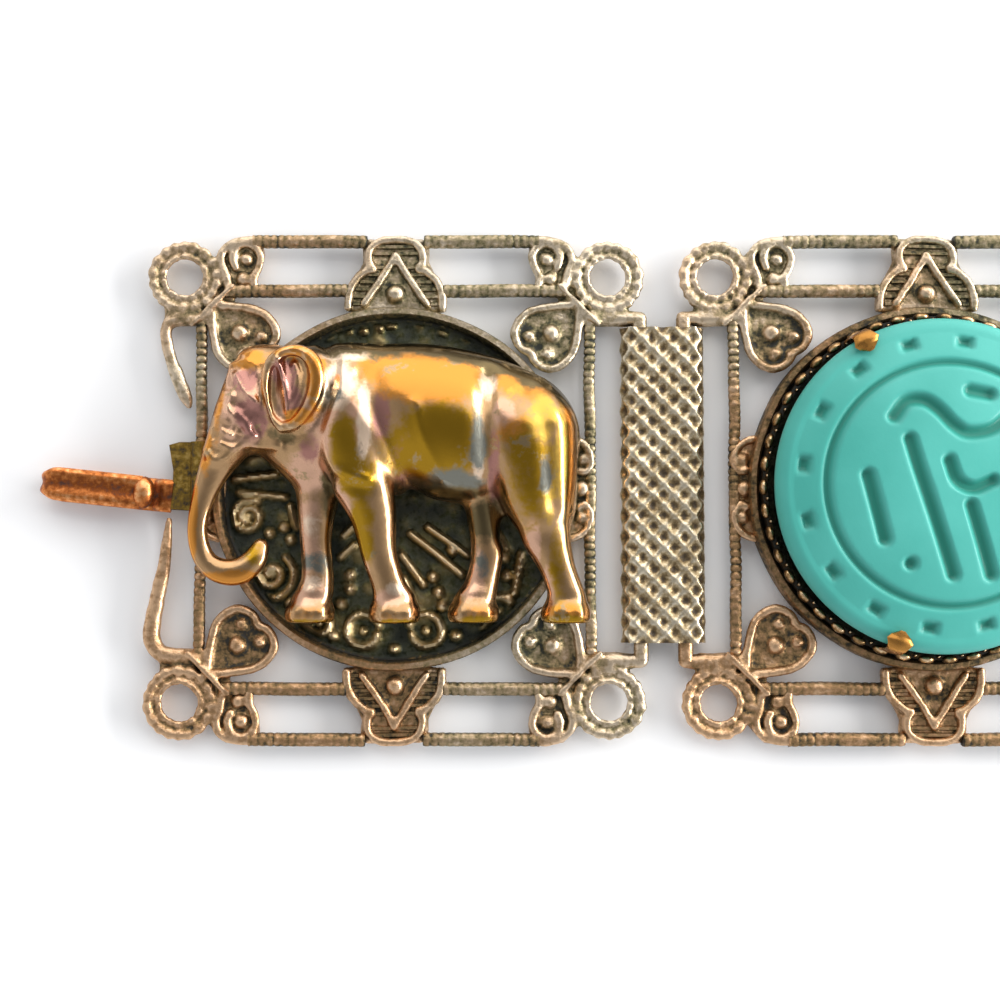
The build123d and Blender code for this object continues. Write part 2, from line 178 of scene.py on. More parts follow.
class Bag:
    """Points in millimetres, faces, and the wear and painted shade of each point: 0 in a recess, dark with
    patina and painted shade, 1 on a rubbed crest.
    """

    def __init__(self):
        self.points = []
        self.faces = []
        self.wear_and_shade = []
        self.count = 0

    def add(self, points, faces, wear_and_shade):
        points = np.asarray(points, float)
        self.points.append(points)
        self.faces += [[self.count + number for number in face] for face in faces]
        self.wear_and_shade.append(np.broadcast_to(np.asarray(wear_and_shade, float), len(points)))
        self.count += len(points)

    def add_bag(self, other, flip_x=1, flip_y=1, turn=0, shift=(0, 0, 0)):
        """Adds another bag's shape, mirrored, turned about Z by degrees, and shifted."""
        points = np.concatenate(other.points) * (flip_x, flip_y, 1)
        c, s = cos(radians(turn)), sin(radians(turn))
        points = points @ np.array([[c, s, 0], [-s, c, 0], [0, 0, 1]]) + shift
        faces = other.faces if flip_x * flip_y > 0 else [face[::-1] for face in other.faces]
        self.add(points, faces, np.concatenate(other.wear_and_shade))

    def quarters(self):
        """Itself and its mirror images, for the four quarters of a panel."""
        whole = Bag()
        for flip_x in (1, -1):
            for flip_y in (1, -1):
                whole.add_bag(self, flip_x, flip_y)
        return whole


def grid_faces(rows, columns, wrap_rows=False, wrap_columns=False):
    """Four-sided faces between points given row by row."""
    faces = []
    for i in range(rows if wrap_rows else rows - 1):
        below = (i + 1) % rows
        for j in range(columns if wrap_columns else columns - 1):
            right = (j + 1) % columns
            faces.append((i * columns + j, below * columns + j,
                          below * columns + right, i * columns + right))
    return faces


def smooth_path(points, per=5):
    """Points along a smooth curve through those given, with all their columns."""
    p = np.asarray(points, float)
    q = np.vstack([2 * p[0] - p[1], p, 2 * p[-1] - p[-2]])
    along = []
    for a, b, c, d in zip(q[:-3], q[1:-2], q[2:-1], q[3:]):
        for t in np.arange(per) / per:
            along.append(0.5 * (2 * b + (c - a) * t + (2 * a - 5 * b + 4 * c - d) * t ** 2
                                + (3 * b - a - 3 * c + d) * t ** 3))
    along.append(p[-1])
    return np.array(along)


def evenly(path, step):
    """The path's points moved to even spacing, and how far along it each lies."""
    p = np.asarray(path, float)
    reach = np.concatenate([[0], np.cumsum(np.linalg.norm(np.diff(p, axis=0), axis=1))])
    count = max(2, int(ceil(reach[-1] / step)))
    places = np.linspace(0, reach[-1], count + 1)
    return np.column_stack([np.interp(places, reach, column) for column in p.T]), places


def right_of(path):
    """Unit directions to the right of a flat path, one for each of its points."""
    ahead = np.gradient(path, axis=0)
    ahead /= np.linalg.norm(ahead, axis=1, keepdims=True)
    return np.column_stack([ahead[:, 1], -ahead[:, 0]])


def skin_faces(rows, sides):
    """Faces round a solid given as rows of points, with its two ends closed."""
    faces = [face[::-1] for face in grid_faces(rows, sides, wrap_columns=True)]
    last = (rows - 1) * sides
    faces.append(tuple(reversed(range(sides))))
    faces.append(tuple(range(last, last + sides)))
    return faces


def tube(bag, path, radius, sides=10, pitch=0.0, depth=0.0, height=1.0, step=0.15, wear_and_shade=0.0):
    """A wire along a path in a level plane, with rounded ribs every pitch, cut in between by depth."""
    path, places = evenly(path, step)
    ahead = np.gradient(path, axis=0)
    across = np.column_stack([-ahead[:, 1], ahead[:, 0], 0 * ahead[:, 0]])
    across /= np.linalg.norm(across, axis=1, keepdims=True)
    crest = np.abs(np.sin(pi * places / pitch)) ** 0.7 if pitch else np.ones(len(path))
    uneven = 0.65 + 0.35 * np.sin(0.9 * np.arange(len(path)) * step + 2.0 * path[0, 1])
    crest = 1 - (1 - crest) * uneven
    size = (radius - depth * (1 - crest))[:, None, None]
    turn = 2 * pi * np.arange(sides) / sides
    sideways = (np.sign(np.cos(turn)) * np.abs(np.cos(turn)) ** 0.8)[None, :, None]
    upright = (np.sign(np.sin(turn)) * np.abs(np.sin(turn)) ** 0.8)[None, :, None]
    points = (path[:, None, :] + across[:, None, :] * (sideways * size)
              + np.array([0, 0, height]) * (upright * size))
    # Painted shade on the wire's underside and in its ribs' grooves, with the crests rubbed bright
    rubbed_and_shaded = 0.29 + 0.27 * np.sin(turn)[None, :] + 0.5 * (crest[:, None] - 0.8) + wear_and_shade
    bag.add(points.reshape(-1, 3), skin_faces(len(path), sides), rubbed_and_shaded.ravel())


def bead(place, size, wear_and_shade, sides, rings):
    """A round-topped bead, from the middle of its base, with its half sizes and its height."""
    points = []
    rubbed_and_shaded = []
    for ring in range(rings):
        rise = 0.5 * pi * ring / rings
        for number in range(sides):
            turn = 2 * pi * number / sides
            points.append((cos(rise) * cos(turn), cos(rise) * sin(turn), sin(rise)))
            # Darker towards its foot, as painted shade; the top takes the given wear
            rubbed_and_shaded.append(0.15 + (wear_and_shade - 0.15) * sin(rise))
    points.append((0, 0, 1))
    rubbed_and_shaded.append(wear_and_shade)
    faces = [face[::-1] for face in grid_faces(rings, sides, wrap_columns=True)]
    top = (rings - 1) * sides
    faces += [(top + k, top + (k + 1) % sides, len(points) - 1) for k in range(sides)]
    faces.append(tuple(reversed(range(sides))))
    bag = Bag()
    bag.add(np.array(points) * size + place, faces, rubbed_and_shaded)
    return bag


def slab(bag, outline, low, high, bevel, wear_and_shade):
    """A flat plate with an eased upper edge, from its outline taken anticlockwise."""
    outline = np.asarray(outline, float)
    ahead = np.roll(outline, -1, 0) - np.roll(outline, 1, 0)
    inward = np.column_stack([-ahead[:, 1], ahead[:, 0]])
    inward /= np.linalg.norm(inward, axis=1, keepdims=True) + TINY
    n = len(outline)
    # Darker at its foot, as painted shade; its eased edge rubbed brighter
    levels = [(low, 0.0, wear_and_shade - 0.2), (high - bevel, 0.0, wear_and_shade), (high, bevel, wear_and_shade + 0.1)]
    points = np.concatenate([np.column_stack([outline + inset * inward, np.full(n, z)])
                             for z, inset, _ in levels])
    bag.add(points, skin_faces(3, n), np.repeat([rubbed_and_shaded for _, _, rubbed_and_shaded in levels], n))


def lathe(bag, profile, segments, wear_and_shade):
    """A closed profile of (radius, z) turned about the panel's axis."""
    turn = 2 * pi * np.arange(segments) / segments
    profile = np.asarray(profile, float)
    points = np.stack([np.outer(np.cos(turn), profile[:, 0]), np.outer(np.sin(turn), profile[:, 0]),
                       np.broadcast_to(profile[:, 1], (segments, len(profile)))], axis=2)
    faces = grid_faces(segments, len(profile), wrap_rows=True, wrap_columns=True)
    bag.add(points.reshape(-1, 3), faces, np.tile(wear_and_shade, segments))


def spiral(x, y, start_radius, end_radius, start, sweep):
    """A flat coil round a centre, its angles in degrees."""
    turn = np.radians(start + np.linspace(0, sweep, SPIRAL_POINTS))
    radius = np.linspace(start_radius, end_radius, SPIRAL_POINTS)
    return np.column_stack([x + radius * np.cos(turn), y + radius * np.sin(turn)])


# Materials

class Shading:
    """A node tree, with short ways to add nodes to it."""

    def __init__(self, tree):
        self.nodes = tree.nodes
        self.links = tree.links

    def feed(self, socket, value):
        """Gives a socket a number, a colour or another node's output."""
        if isinstance(value, bpy.types.NodeSocket):
            self.links.new(value, socket)
        elif isinstance(value, tuple):
            socket.default_value = (*value, 1)
        else:
            socket.default_value = value

    def node(self, kind, output, **inputs):
        """Adds a node, feeds its inputs and gives back one of its outputs."""
        node = self.nodes.new("ShaderNode" + kind)
        for label, value in inputs.items():
            self.feed(node.inputs[label.replace("_", " ")], value)
        return node.outputs[output]

    def noise(self, scale, detail, roughness):
        place = self.node("TexCoord", "Object")
        return self.node("TexNoise", "Fac", Vector=place, Scale=scale, Detail=detail, Roughness=roughness)

    def attribute(self, name):
        node = self.nodes.new("ShaderNodeAttribute")
        node.attribute_name = name
        return node.outputs["Fac"]

    def mapped(self, value, low, high, to_low=0.0, to_high=1.0):
        return self.node("MapRange", "Result", Value=value, From_Min=low, From_Max=high,
                         To_Min=to_low, To_Max=to_high)

    def maths(self, operation, first, second):
        node = self.nodes.new("ShaderNodeMath")
        node.operation = operation
        self.feed(node.inputs[0], first)
        self.feed(node.inputs[1], second)
        return node.outputs["Value"]

    def blended(self, share, first, second):
        """Mixes two colours, each an output or a plain colour."""
        node = self.nodes.new("ShaderNodeMix")
        node.data_type = "RGBA"
        self.feed(node.inputs["Factor"], share)
        self.feed(node.inputs[6], first)
        self.feed(node.inputs[7], second)
        return node.outputs[2]

    def ramp(self, value, stops):
        node = self.nodes.new("ShaderNodeValToRGB")
        elements = node.color_ramp.elements
        while len(elements) < len(stops):
            elements.new(0.5)
        for element, (place, colour) in zip(elements, stops):
            element.position = place
            element.color = (*colour, 1)
        self.feed(node.inputs["Fac"], value)
        return node.outputs["Color"]

    def bumped(self, height, distance):
        """The surface's direction, roughened by a height in millimetres."""
        return self.node("Bump", "Normal", Height=height, Distance=distance * MM, Strength=1.0)


def new_material(name):
    """A new material, its shading and its shader's inputs."""
    material = bpy.data.materials.new(name)
    material.use_nodes = True
    tree = material.node_tree
    return material, Shading(tree), tree.nodes["Principled BSDF"].inputs


def worn_shaded_metal(name, stops, recess_rough, crest_rough, mottle, grain=0.012, tint=None, patch_stops=None):
    """Old metal: dark in its recesses with patina and painted shade, rubbed bright on its crests, with stains
    and fine grain.

    A tint is an attribute's name and the stops used where it is 1; the other stops show in patches."""
    material, shading, inputs = new_material(name)
    stains = shading.noise(STAIN_SCALE, 5.0, 0.65)
    specks = shading.noise(SPECK_SCALE, 3.0, 0.6)
    worn_and_shaded = shading.attribute("wear_and_shade")
    shift = shading.mapped(stains, 0.3, 0.7, -mottle, mottle)
    fine = shading.mapped(specks, 0.3, 0.7, -SPECKLE, SPECKLE)
    value = shading.maths("ADD", worn_and_shaded, shift)
    value = shading.maths("ADD", value, fine)
    colour = shading.ramp(value, stops)
    if patch_stops:
        patches = shading.maths("ADD", shading.noise(PATCH_SCALE, 2.0, 0.5), shading.attribute("grey"))
        patches = shading.mapped(patches, 0.4, 0.6)
        colour = shading.blended(patches, colour, shading.ramp(value, patch_stops))
    if tint:
        label, tint_stops = tint
        smoother = shading.maths("ADD", worn_and_shaded, shading.maths("MULTIPLY", shift, 0.5))
        colour = shading.blended(shading.attribute(label), colour, shading.ramp(smoother, tint_stops))
    shading.feed(inputs["Base Color"], colour)
    shading.feed(inputs["Roughness"], shading.mapped(value, 0.1, 0.9, recess_rough, crest_rough))
    shading.feed(inputs["Metallic"], shading.mapped(value, 0.0, 0.35, 0.1, 1.0))
    shading.feed(inputs["Normal"], shading.bumped(specks, grain))
    return material


# Stops run from a recess, dark with patina and painted shade, to a rubbed crest
FILIGREE_STOPS = [(0.0, (0.013, 0.010, 0.005)), (0.16, (0.075, 0.051, 0.022)), (0.38, (0.26, 0.170, 0.080)),
                  (0.7, (0.46, 0.270, 0.138)), (1.0, (0.71, 0.46, 0.27))]
OLIVE_STOPS = [(0.0, (0.010, 0.011, 0.005)), (0.16, (0.065, 0.060, 0.028)), (0.38, (0.24, 0.205, 0.112)),
               (0.7, (0.46, 0.365, 0.235)), (1.0, (0.72, 0.60, 0.44))]
DISH_STOPS = [(0.0, (0.014, 0.019, 0.010)), (0.15, (0.060, 0.062, 0.028)), (0.35, (0.19, 0.150, 0.065)),
              (0.65, (0.52, 0.39, 0.20)), (1.0, (0.82, 0.64, 0.41))]
SLEEVE_STOPS = [(0.0, (0.060, 0.036, 0.014)), (0.3, (0.21, 0.145, 0.070)), (0.65, (0.50, 0.39, 0.235)),
                (1.0, (0.86, 0.75, 0.56))]
COPPER_STOPS = [(0.0, (0.05, 0.014, 0.005)), (0.35, (0.30, 0.082, 0.020)), (0.7, (0.66, 0.22, 0.060)),
                (1.0, (0.92, 0.45, 0.19))]
TAB_STOPS = [(0.0, (0.04, 0.016, 0.004)), (0.5, (0.30, 0.125, 0.025)), (1.0, (0.60, 0.29, 0.07))]
BEZEL_STOPS = [(0.0, (0.010, 0.008, 0.004)), (0.35, (0.07, 0.04, 0.018)), (0.7, (0.42, 0.25, 0.105)),
               (1.0, (0.85, 0.62, 0.38))]
PLATE_STOPS = [(0.0, (0.015, 0.010, 0.003)), (0.5, (0.30, 0.190, 0.040)), (1.0, (0.62, 0.43, 0.14))]

filigree_metal = worn_shaded_metal("filigree_metal", FILIGREE_STOPS, 0.60, 0.37, 0.28, 0.06,
                            ("dish", DISH_STOPS), OLIVE_STOPS)
sleeve_metal = worn_shaded_metal("sleeve_metal", SLEEVE_STOPS, 0.5, 0.28, 0.16)
bezel_metal = worn_shaded_metal("bezel_metal", BEZEL_STOPS, 0.5, 0.26, 0.2, tint=("copper", TAB_STOPS))
clasp_metal = worn_shaded_metal("clasp_copper", COPPER_STOPS, 0.5, 0.3, 0.2)
plate_metal = worn_shaded_metal("clasp_plate_brass", PLATE_STOPS, 0.6, 0.42, 0.4)

ELEPHANT_DARK = (0.38, 0.215, 0.095)
ELEPHANT_LIGHT = (0.66, 0.42, 0.22)
ELEPHANT_SHADE_AND_DIRT = (0.06, 0.032, 0.013)
ELEPHANT_CREST = (0.93, 0.68, 0.44)
# Gold, lemon and pale are painted reflections and highlights, pale also wear; olive and grey are painted
# reflections of the darker room and painted shade; mauve and the dark brown are painted shade; rose is a
# lighter tone
ELEPHANT_COLOURS = [
    ("rose", (0.74, 0.44, 0.29)), ("mauve", (0.44, 0.21, 0.17)), ("gold", (0.70, 0.29, 0.055)),
    ("olive", (0.42, 0.235, 0.018)), ("lemon", (0.70, 0.43, 0.085)), ("pale", (0.94, 0.70, 0.50)),
    ("grey", (0.24, 0.235, 0.195)), ("painted_shade", (0.17, 0.125, 0.060))]
GLASS_DARK = (0.065, 0.405, 0.340)
GLASS_LIGHT = (0.095, 0.485, 0.415)
GLASS_CUT_SHADE = (0.018, 0.22, 0.165)
GLASS_SHADE = (0.004, 0.012, 0.010)


def elephant_metal():
    """Glossy copper wash with painted reflections, highlights and shade: gold on the back, olive low on the
    flank, mauve shade in the hollows.
    """
    material, shading, inputs = new_material("elephant_metal")
    stains = shading.noise(STAIN_SCALE, 8.0, 0.72)
    wander = shading.mapped(stains, 0.35, 0.65, -0.42, 0.42)
    fine = shading.noise(GLOSS_SCALE, 4.0, 0.6)
    colour = shading.blended(stains, ELEPHANT_DARK, ELEPHANT_LIGHT)
    # Each colour where its attribute says: painted reflections, highlights and shade, and a rose tone
    for label, tint in ELEPHANT_COLOURS:
        share = shading.maths("ADD", shading.attribute(label), wander)
        colour = shading.blended(shading.mapped(share, 0.25, 0.75), colour, tint)
    # Painted shade with dirt in creases and low near the dish; pale where crests are rubbed
    wear_and_shade_level = shading.maths("ADD", shading.attribute("wear_and_shade"), shading.mapped(fine, 0.3, 0.7, -0.08, 0.08))
    colour = shading.blended(shading.mapped(wear_and_shade_level, 0.05, 0.34, 1.0, 0.0), colour, ELEPHANT_SHADE_AND_DIRT)
    colour = shading.blended(shading.mapped(wear_and_shade_level, 0.86, 1.2), colour, ELEPHANT_CREST)
    rough = shading.mapped(wear_and_shade_level, 0.1, 0.6, 0.40, 0.17)
    rough = shading.maths("ADD", rough, shading.mapped(fine, 0.3, 0.7, -0.04, 0.06))
    inputs["Metallic"].default_value = 1.0
    shading.feed(inputs["Base Color"], colour)
    shading.feed(inputs["Roughness"], rough)
    shading.feed(inputs["Normal"], shading.bumped(stains, 0.02))
    return material


def stone_glass():
    """Opaque moulded glass, satin, with painted shade in its cuts and under its edge."""
    material, shading, inputs = new_material("seal_glass")
    clouds = shading.noise(CLOUD_SCALE, 3.0, 0.5)
    grain = shading.noise(GRAIN_SCALE, 3.0, 0.6)
    colour = shading.blended(shading.mapped(clouds, 0.3, 0.7), GLASS_DARK, GLASS_LIGHT)
    # Painted shade in the cuts, and on the wall below the edge
    colour = shading.blended(shading.attribute("cut"), colour, GLASS_CUT_SHADE)
    colour = shading.blended(shading.attribute("wear_and_shade"), GLASS_SHADE, colour)
    inputs["Specular IOR Level"].default_value = 0.35
    shading.feed(inputs["Base Color"], colour)
    shading.feed(inputs["Roughness"], shading.mapped(grain, 0.3, 0.7, 0.34, 0.46))
    shading.feed(inputs["Normal"], shading.bumped(grain, 0.006))
    return material


elephant_copper = elephant_metal()
seal_glass = stone_glass()


def thinned(mesh, share):
    """The mesh with a share of its faces, those taken out first that lie flat."""
    holder = bpy.data.objects.new("holder", mesh)
    bpy.context.scene.collection.objects.link(holder)
    fewer = holder.modifiers.new("fewer", "DECIMATE")
    fewer.ratio = share
    graph = bpy.context.evaluated_depsgraph_get()
    result = bpy.data.meshes.new_from_object(holder.evaluated_get(graph), preserve_all_data_layers=True,
                                             depsgraph=graph)
    bpy.data.objects.remove(holder)
    bpy.data.meshes.remove(mesh)
    return result


def finish_piece(name, bag, shift_x, material, body, nodes, sharp=40, more=None, wobble=0.0, share=1.0):
    """Makes the mesh object, in its place in the strip, riding on its body.

    A wobble makes it a little uneven, but for the hinge bars, which turn in the sleeves."""
    points = np.concatenate(bag.points)
    if wobble:
        x, y = points[:, 0] + 1.7 * shift_x, points[:, 1]
        away = np.clip(BAR_OFFSET - BAR_RADIUS - 0.1 - np.abs(points[:, 0]), 0, 1)
        points[:, 0] += away * wobble * (np.sin(0.55 * y + 0.3 * x) + 0.6 * np.sin(1.3 * y + 2.0))
        points[:, 1] += wobble * (np.sin(0.5 * x + 0.35 * y) + 0.6 * np.sin(1.1 * x + 0.7)) * 0.6
        points[:, 0] = np.clip(points[:, 0], CLEARANCE - PANEL_REACH, PANEL_REACH - CLEARANCE)
    points = points + (shift_x, 0, 0)
    mesh = bpy.data.meshes.new(name)
    mesh.from_pydata((points * MM).tolist(), [], bag.faces)
    fields = {"wear_and_shade": np.concatenate(bag.wear_and_shade)}
    fields.update(more or {})
    for label, values in fields.items():
        layer = mesh.attributes.new(label, "FLOAT", "POINT")
        layer.data.foreach_set("value", values.astype(np.float32))
    if share < 1:
        mesh = thinned(mesh, share)
        mesh.name = name
    mesh.shade_smooth()
    if sharp:
        mesh.set_sharp_from_angle(angle=radians(sharp))
    mesh.materials.append(material)
    piece = bpy.data.objects.new(name, mesh)
    bpy.context.scene.collection.objects.link(piece)
    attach(piece, body)
    if nodes:
        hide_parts(*nodes)


# Cast relief, modelled as a field on a grid
EVERYWHERE = (slice(None),) * 3
LIMB_MARGIN = 1.6            # how far round a limb its blending is worked out


def distance_to_path(x, y, path):
    """How far points lie from a flat path."""
    nearest = np.full(x.shape, 1e9)
    for a, b in zip(path[:-1], path[1:]):
        ahead = b - a
        share = np.clip(((x - a[0]) * ahead[0] + (y - a[1]) * ahead[1]) / (ahead @ ahead + TINY), 0, 1)
        nearest = np.minimum(nearest, np.hypot(x - a[0] - share * ahead[0], y - a[1] - share * ahead[1]))
    return nearest


class Sculpture:
    """A solid as distances on a grid, negative inside."""

    def __init__(self, low, high, step):
        self.low = np.array(low)
        self.step = step
        self.axes = [(a + step * np.arange(round((b - a) / step) + 1)).astype(np.float32)
                     for a, b in zip(low, high)]
        self.field = np.full([len(axis) for axis in self.axes], 3.0, np.float32)
        self.x, self.y = np.meshgrid(self.axes[0], self.axes[1], indexing="ij")

    def mirrored(self):
        """Its four mirror images across X and Y in one; the grid has to start half a step out."""
        far = [float(axis[-1]) for axis in self.axes]
        whole = Sculpture((-far[0], -far[1], self.low[2]), far, self.step)
        field = np.concatenate([self.field[::-1], self.field], axis=0)
        whole.field = np.concatenate([field[:, ::-1], field], axis=1)
        return whole

    def union(self, window, distance, soft):
        """Adds a shape given as distances in a window of the grid, blended where the two meet."""
        here = self.field[window]
        share = np.clip(0.5 + 0.5 * (distance - here) / soft, 0, 1)
        self.field[window] = distance * (1 - share) + here * share - soft * share * (1 - share)

    def limb(self, points, soft):
        """Adds a smooth chain of round sections, each x, y, z and radius."""
        chain = smooth_path(points) if len(points) > 2 else np.array(points, float)
        reach = chain[:, 3].max() + LIMB_MARGIN
        window = []
        for axis, values in enumerate(self.axes):
            first = np.searchsorted(values, chain[:, axis].min() - reach)
            last = np.searchsorted(values, chain[:, axis].max() + reach)
            window.append(slice(first, last))
        window = tuple(window)
        x = self.axes[0][window[0]][:, None, None]
        y = self.axes[1][window[1]][None, :, None]
        z = self.axes[2][window[2]][None, None, :] / FLATTEN
        chain = chain * (1, 1, 1 / FLATTEN, 1)
        nearest = None
        for a, b in zip(chain[:-1], chain[1:]):
            ahead = b[:3] - a[:3]
            share = (x - a[0]) * ahead[0] + (y - a[1]) * ahead[1] + (z - a[2]) * ahead[2]
            share = np.clip(share / (ahead @ ahead + TINY), 0, 1)
            away = np.sqrt((x - a[0] - share * ahead[0]) ** 2 + (y - a[1] - share * ahead[1]) ** 2
                           + (z - a[2] - share * ahead[2]) ** 2)
            distance = away - (a[3] + share * (b[3] - a[3]))
            nearest = distance if nearest is None else np.minimum(nearest, distance)
        self.union(window, nearest, soft)

    def plate(self, outline, low, high, soft):
        """Adds a flat plate from its outline."""
        outline = np.asarray(outline, float)
        first = [np.searchsorted(axis, value - 1.0) for axis, value in zip(self.axes, outline.min(0))]
        last = [np.searchsorted(axis, value + 1.0) for axis, value in zip(self.axes, outline.max(0))]
        window = (slice(first[0], last[0]), slice(first[1], last[1]))
        x, y = self.x[window], self.y[window]
        inside = np.zeros(x.shape, bool)
        for a, b in zip(outline, np.roll(outline, -1, 0)):
            at_height = (a[1] > y) != (b[1] > y)
            inside ^= at_height & (x < a[0] + (b[0] - a[0]) * (y - a[1]) / (b[1] - a[1] + TINY))
        edge = distance_to_path(x, y, np.vstack([outline, outline[0]]))
        edge = np.where(inside, -edge, edge)[:, :, None]
        upright = (np.abs(self.axes[2] - (low + high) / 2) - (high - low) / 2)[None, None, :]
        outside = np.hypot(np.maximum(edge, 0), np.maximum(upright, 0))
        distance = np.minimum(np.maximum(edge, upright), 0) + outside
        self.union((*window, slice(None)), distance.astype(np.float32), soft)

    def ring(self, x, y, z, radius, wire, soft, beads, depth):
        """Adds a round wire bent to a circle, with uneven beads if asked."""
        turn = np.arctan2(self.y - y, self.x - x)
        crest = np.abs(np.sin(0.5 * beads * turn + 0.6 * np.sin(3 * turn + radius)))
        thick = wire - depth * (1 - crest)
        reach = np.hypot(self.x - x, self.y - y) - radius
        height = (self.axes[2] - z) / FLATTEN
        distance = np.hypot(reach[:, :, None], height[None, None, :]) - thick[:, :, None]
        self.union(EVERYWHERE, distance.astype(np.float32), soft)

    def bore(self, x, y, radius):
        """Cuts a round hole through."""
        away = np.hypot(self.x - x, self.y - y)
        turn = np.arctan2(self.y - y, self.x - x)
        wall = radius + 0.05 * np.sin(5 * turn + 1.0) + 0.03 * np.sin(9 * turn) - away
        self.field = np.maximum(self.field, wall[:, :, None].astype(np.float32))

    def roughen(self, amount, seed, times):
        """Wavers the whole surface, as old castings do."""
        kept = self.field
        self.field = np.random.default_rng(seed).normal(size=kept.shape).astype(np.float32)
        waver = self.blurred(times)
        self.field = kept + amount * waver / waver.std()

    def press(self, points, depth, left, right=None):
        """Presses a furrow along a path, or with a negative depth raises a ridge."""
        right = right or left
        path = smooth_path(points)
        nearest = np.full(self.x.shape, 1e9, np.float32)
        side = np.zeros_like(nearest)
        for a, b in zip(path[:-1], path[1:]):
            ahead = b - a
            share = ((self.x - a[0]) * ahead[0] + (self.y - a[1]) * ahead[1]) / (ahead @ ahead + TINY)
            share = np.clip(share, 0, 1)
            dx = self.x - a[0] - share * ahead[0]
            dy = self.y - a[1] - share * ahead[1]
            distance = np.hypot(dx, dy)
            closer = distance < nearest
            nearest = np.where(closer, distance, nearest)
            leaning = (dx * ahead[1] - dy * ahead[0]) / (distance * np.linalg.norm(ahead) + TINY)
            side = np.where(closer, leaning, side)
        width = left + (right - left) * (0.5 + 0.5 * side)
        self.field += (depth * np.exp(-(nearest / width) ** 2))[:, :, None].astype(np.float32)

    def hollow(self, x, y, half_width, half_height, depth, turn, steep):
        """Presses an oval hollow, or with a negative depth raises a bump."""
        c, s = cos(radians(turn)), sin(radians(turn))
        across = ((self.x - x) * c + (self.y - y) * s) / half_width
        along = ((self.y - y) * c - (self.x - x) * s) / half_height
        self.field += (depth * np.exp(-(across ** 2 + along ** 2) ** steep))[:, :, None].astype(np.float32)

    def disc(self, centre, radii, soft):
        """Adds an ellipsoid."""
        x = self.axes[0][:, None, None]
        y = self.axes[1][None, :, None]
        z = self.axes[2][None, None, :]
        round_off = np.sqrt(((x - centre[0]) / radii[0]) ** 2 + ((y - centre[1]) / radii[1]) ** 2
                            + ((z - centre[2]) / radii[2]) ** 2)
        self.union(EVERYWHERE, (round_off - 1) * min(radii), soft)

    def cut_below(self, axis, value, soft):
        """Takes away what is below a level plane across an axis."""
        shape = [1, 1, 1]
        shape[axis] = -1
        outside = value - self.axes[axis].reshape(shape) + 0 * self.field
        self.field = -self.field
        self.union(EVERYWHERE, -outside, soft)
        self.field = -self.field

    def blurred(self, times):
        """The field, smoothed along each axis as many times."""
        soft = self.field
        for axis in range(3):
            for _ in range(times):
                padded = np.concatenate([np.take(soft, [0], axis), soft, np.take(soft, [-1], axis)], axis)
                n = soft.shape[axis]
                soft = (0.25 * np.take(padded, range(n), axis) + 0.5 * soft
                        + 0.25 * np.take(padded, range(2, n + 2), axis))
        return soft

    def surface(self, blur):
        """Vertices and quads of the zero surface, and how far each vertex stands out of its surroundings."""
        field = self.field
        sharpness = self.blurred(blur) - field
        counts = [n - 1 for n in field.shape]
        corners = [(i, j, k) for i in (0, 1) for j in (0, 1) for k in (0, 1)]

        def shifted(values, corner):
            return values[corner[0]:corner[0] + counts[0], corner[1]:corner[1] + counts[1],
                          corner[2]:corner[2] + counts[2]]

        inside = field < 0
        inside_count = sum(shifted(inside, corner).astype(np.int8) for corner in corners)
        mixed = (inside_count > 0) & (inside_count < 8)
        places = np.argwhere(mixed)
        index = np.full(mixed.shape, -1, np.int64)
        index[mixed] = np.arange(len(places))
        total = np.zeros((len(places), 3))
        crossings = np.zeros(len(places))
        for first in corners:
            for axis in range(3):
                if first[axis]:
                    continue
                second = list(first)
                second[axis] = 1
                a = shifted(field, first)[mixed]
                b = shifted(field, tuple(second))[mixed]
                crossed = (a < 0) != (b < 0)
                share = np.where(crossed, a / np.where(crossed, a - b, 1), 0)
                spot = np.tile(np.array(first, float), (len(places), 1))
                spot[:, axis] += share
                total += spot * crossed[:, None]
                crossings += crossed
        vertices = self.low + (places + total / crossings[:, None]) * self.step
        sharp = sum(shifted(sharpness, corner)[mixed] for corner in corners) / 8
        quads = []
        for axis in range(3):
            u, v = [other for other in range(3) if other != axis]
            here = [slice(1, -1)] * 3
            here[axis] = slice(0, -1)
            there = list(here)
            there[axis] = slice(1, None)
            starts = inside[tuple(here)]
            ends = inside[tuple(there)]
            for outward in (True, False):
                hits = np.argwhere((starts & ~ends) if outward else (~starts & ends))
                shift = np.ones(3, int)
                shift[axis] = 0
                hits = hits + shift
                ring = []
                for du, dv in ((-1, -1), (0, -1), (0, 0), (-1, 0)):
                    cell = hits.copy()
                    cell[:, u] += du
                    cell[:, v] += dv
                    ring.append(index[cell[:, 0], cell[:, 1], cell[:, 2]])
                ring = np.stack(ring, axis=1)
                forward = outward == (axis != 1)
                quads.append(ring if forward else ring[:, ::-1])
        return vertices, np.concatenate(quads), sharp


# Pierced panels

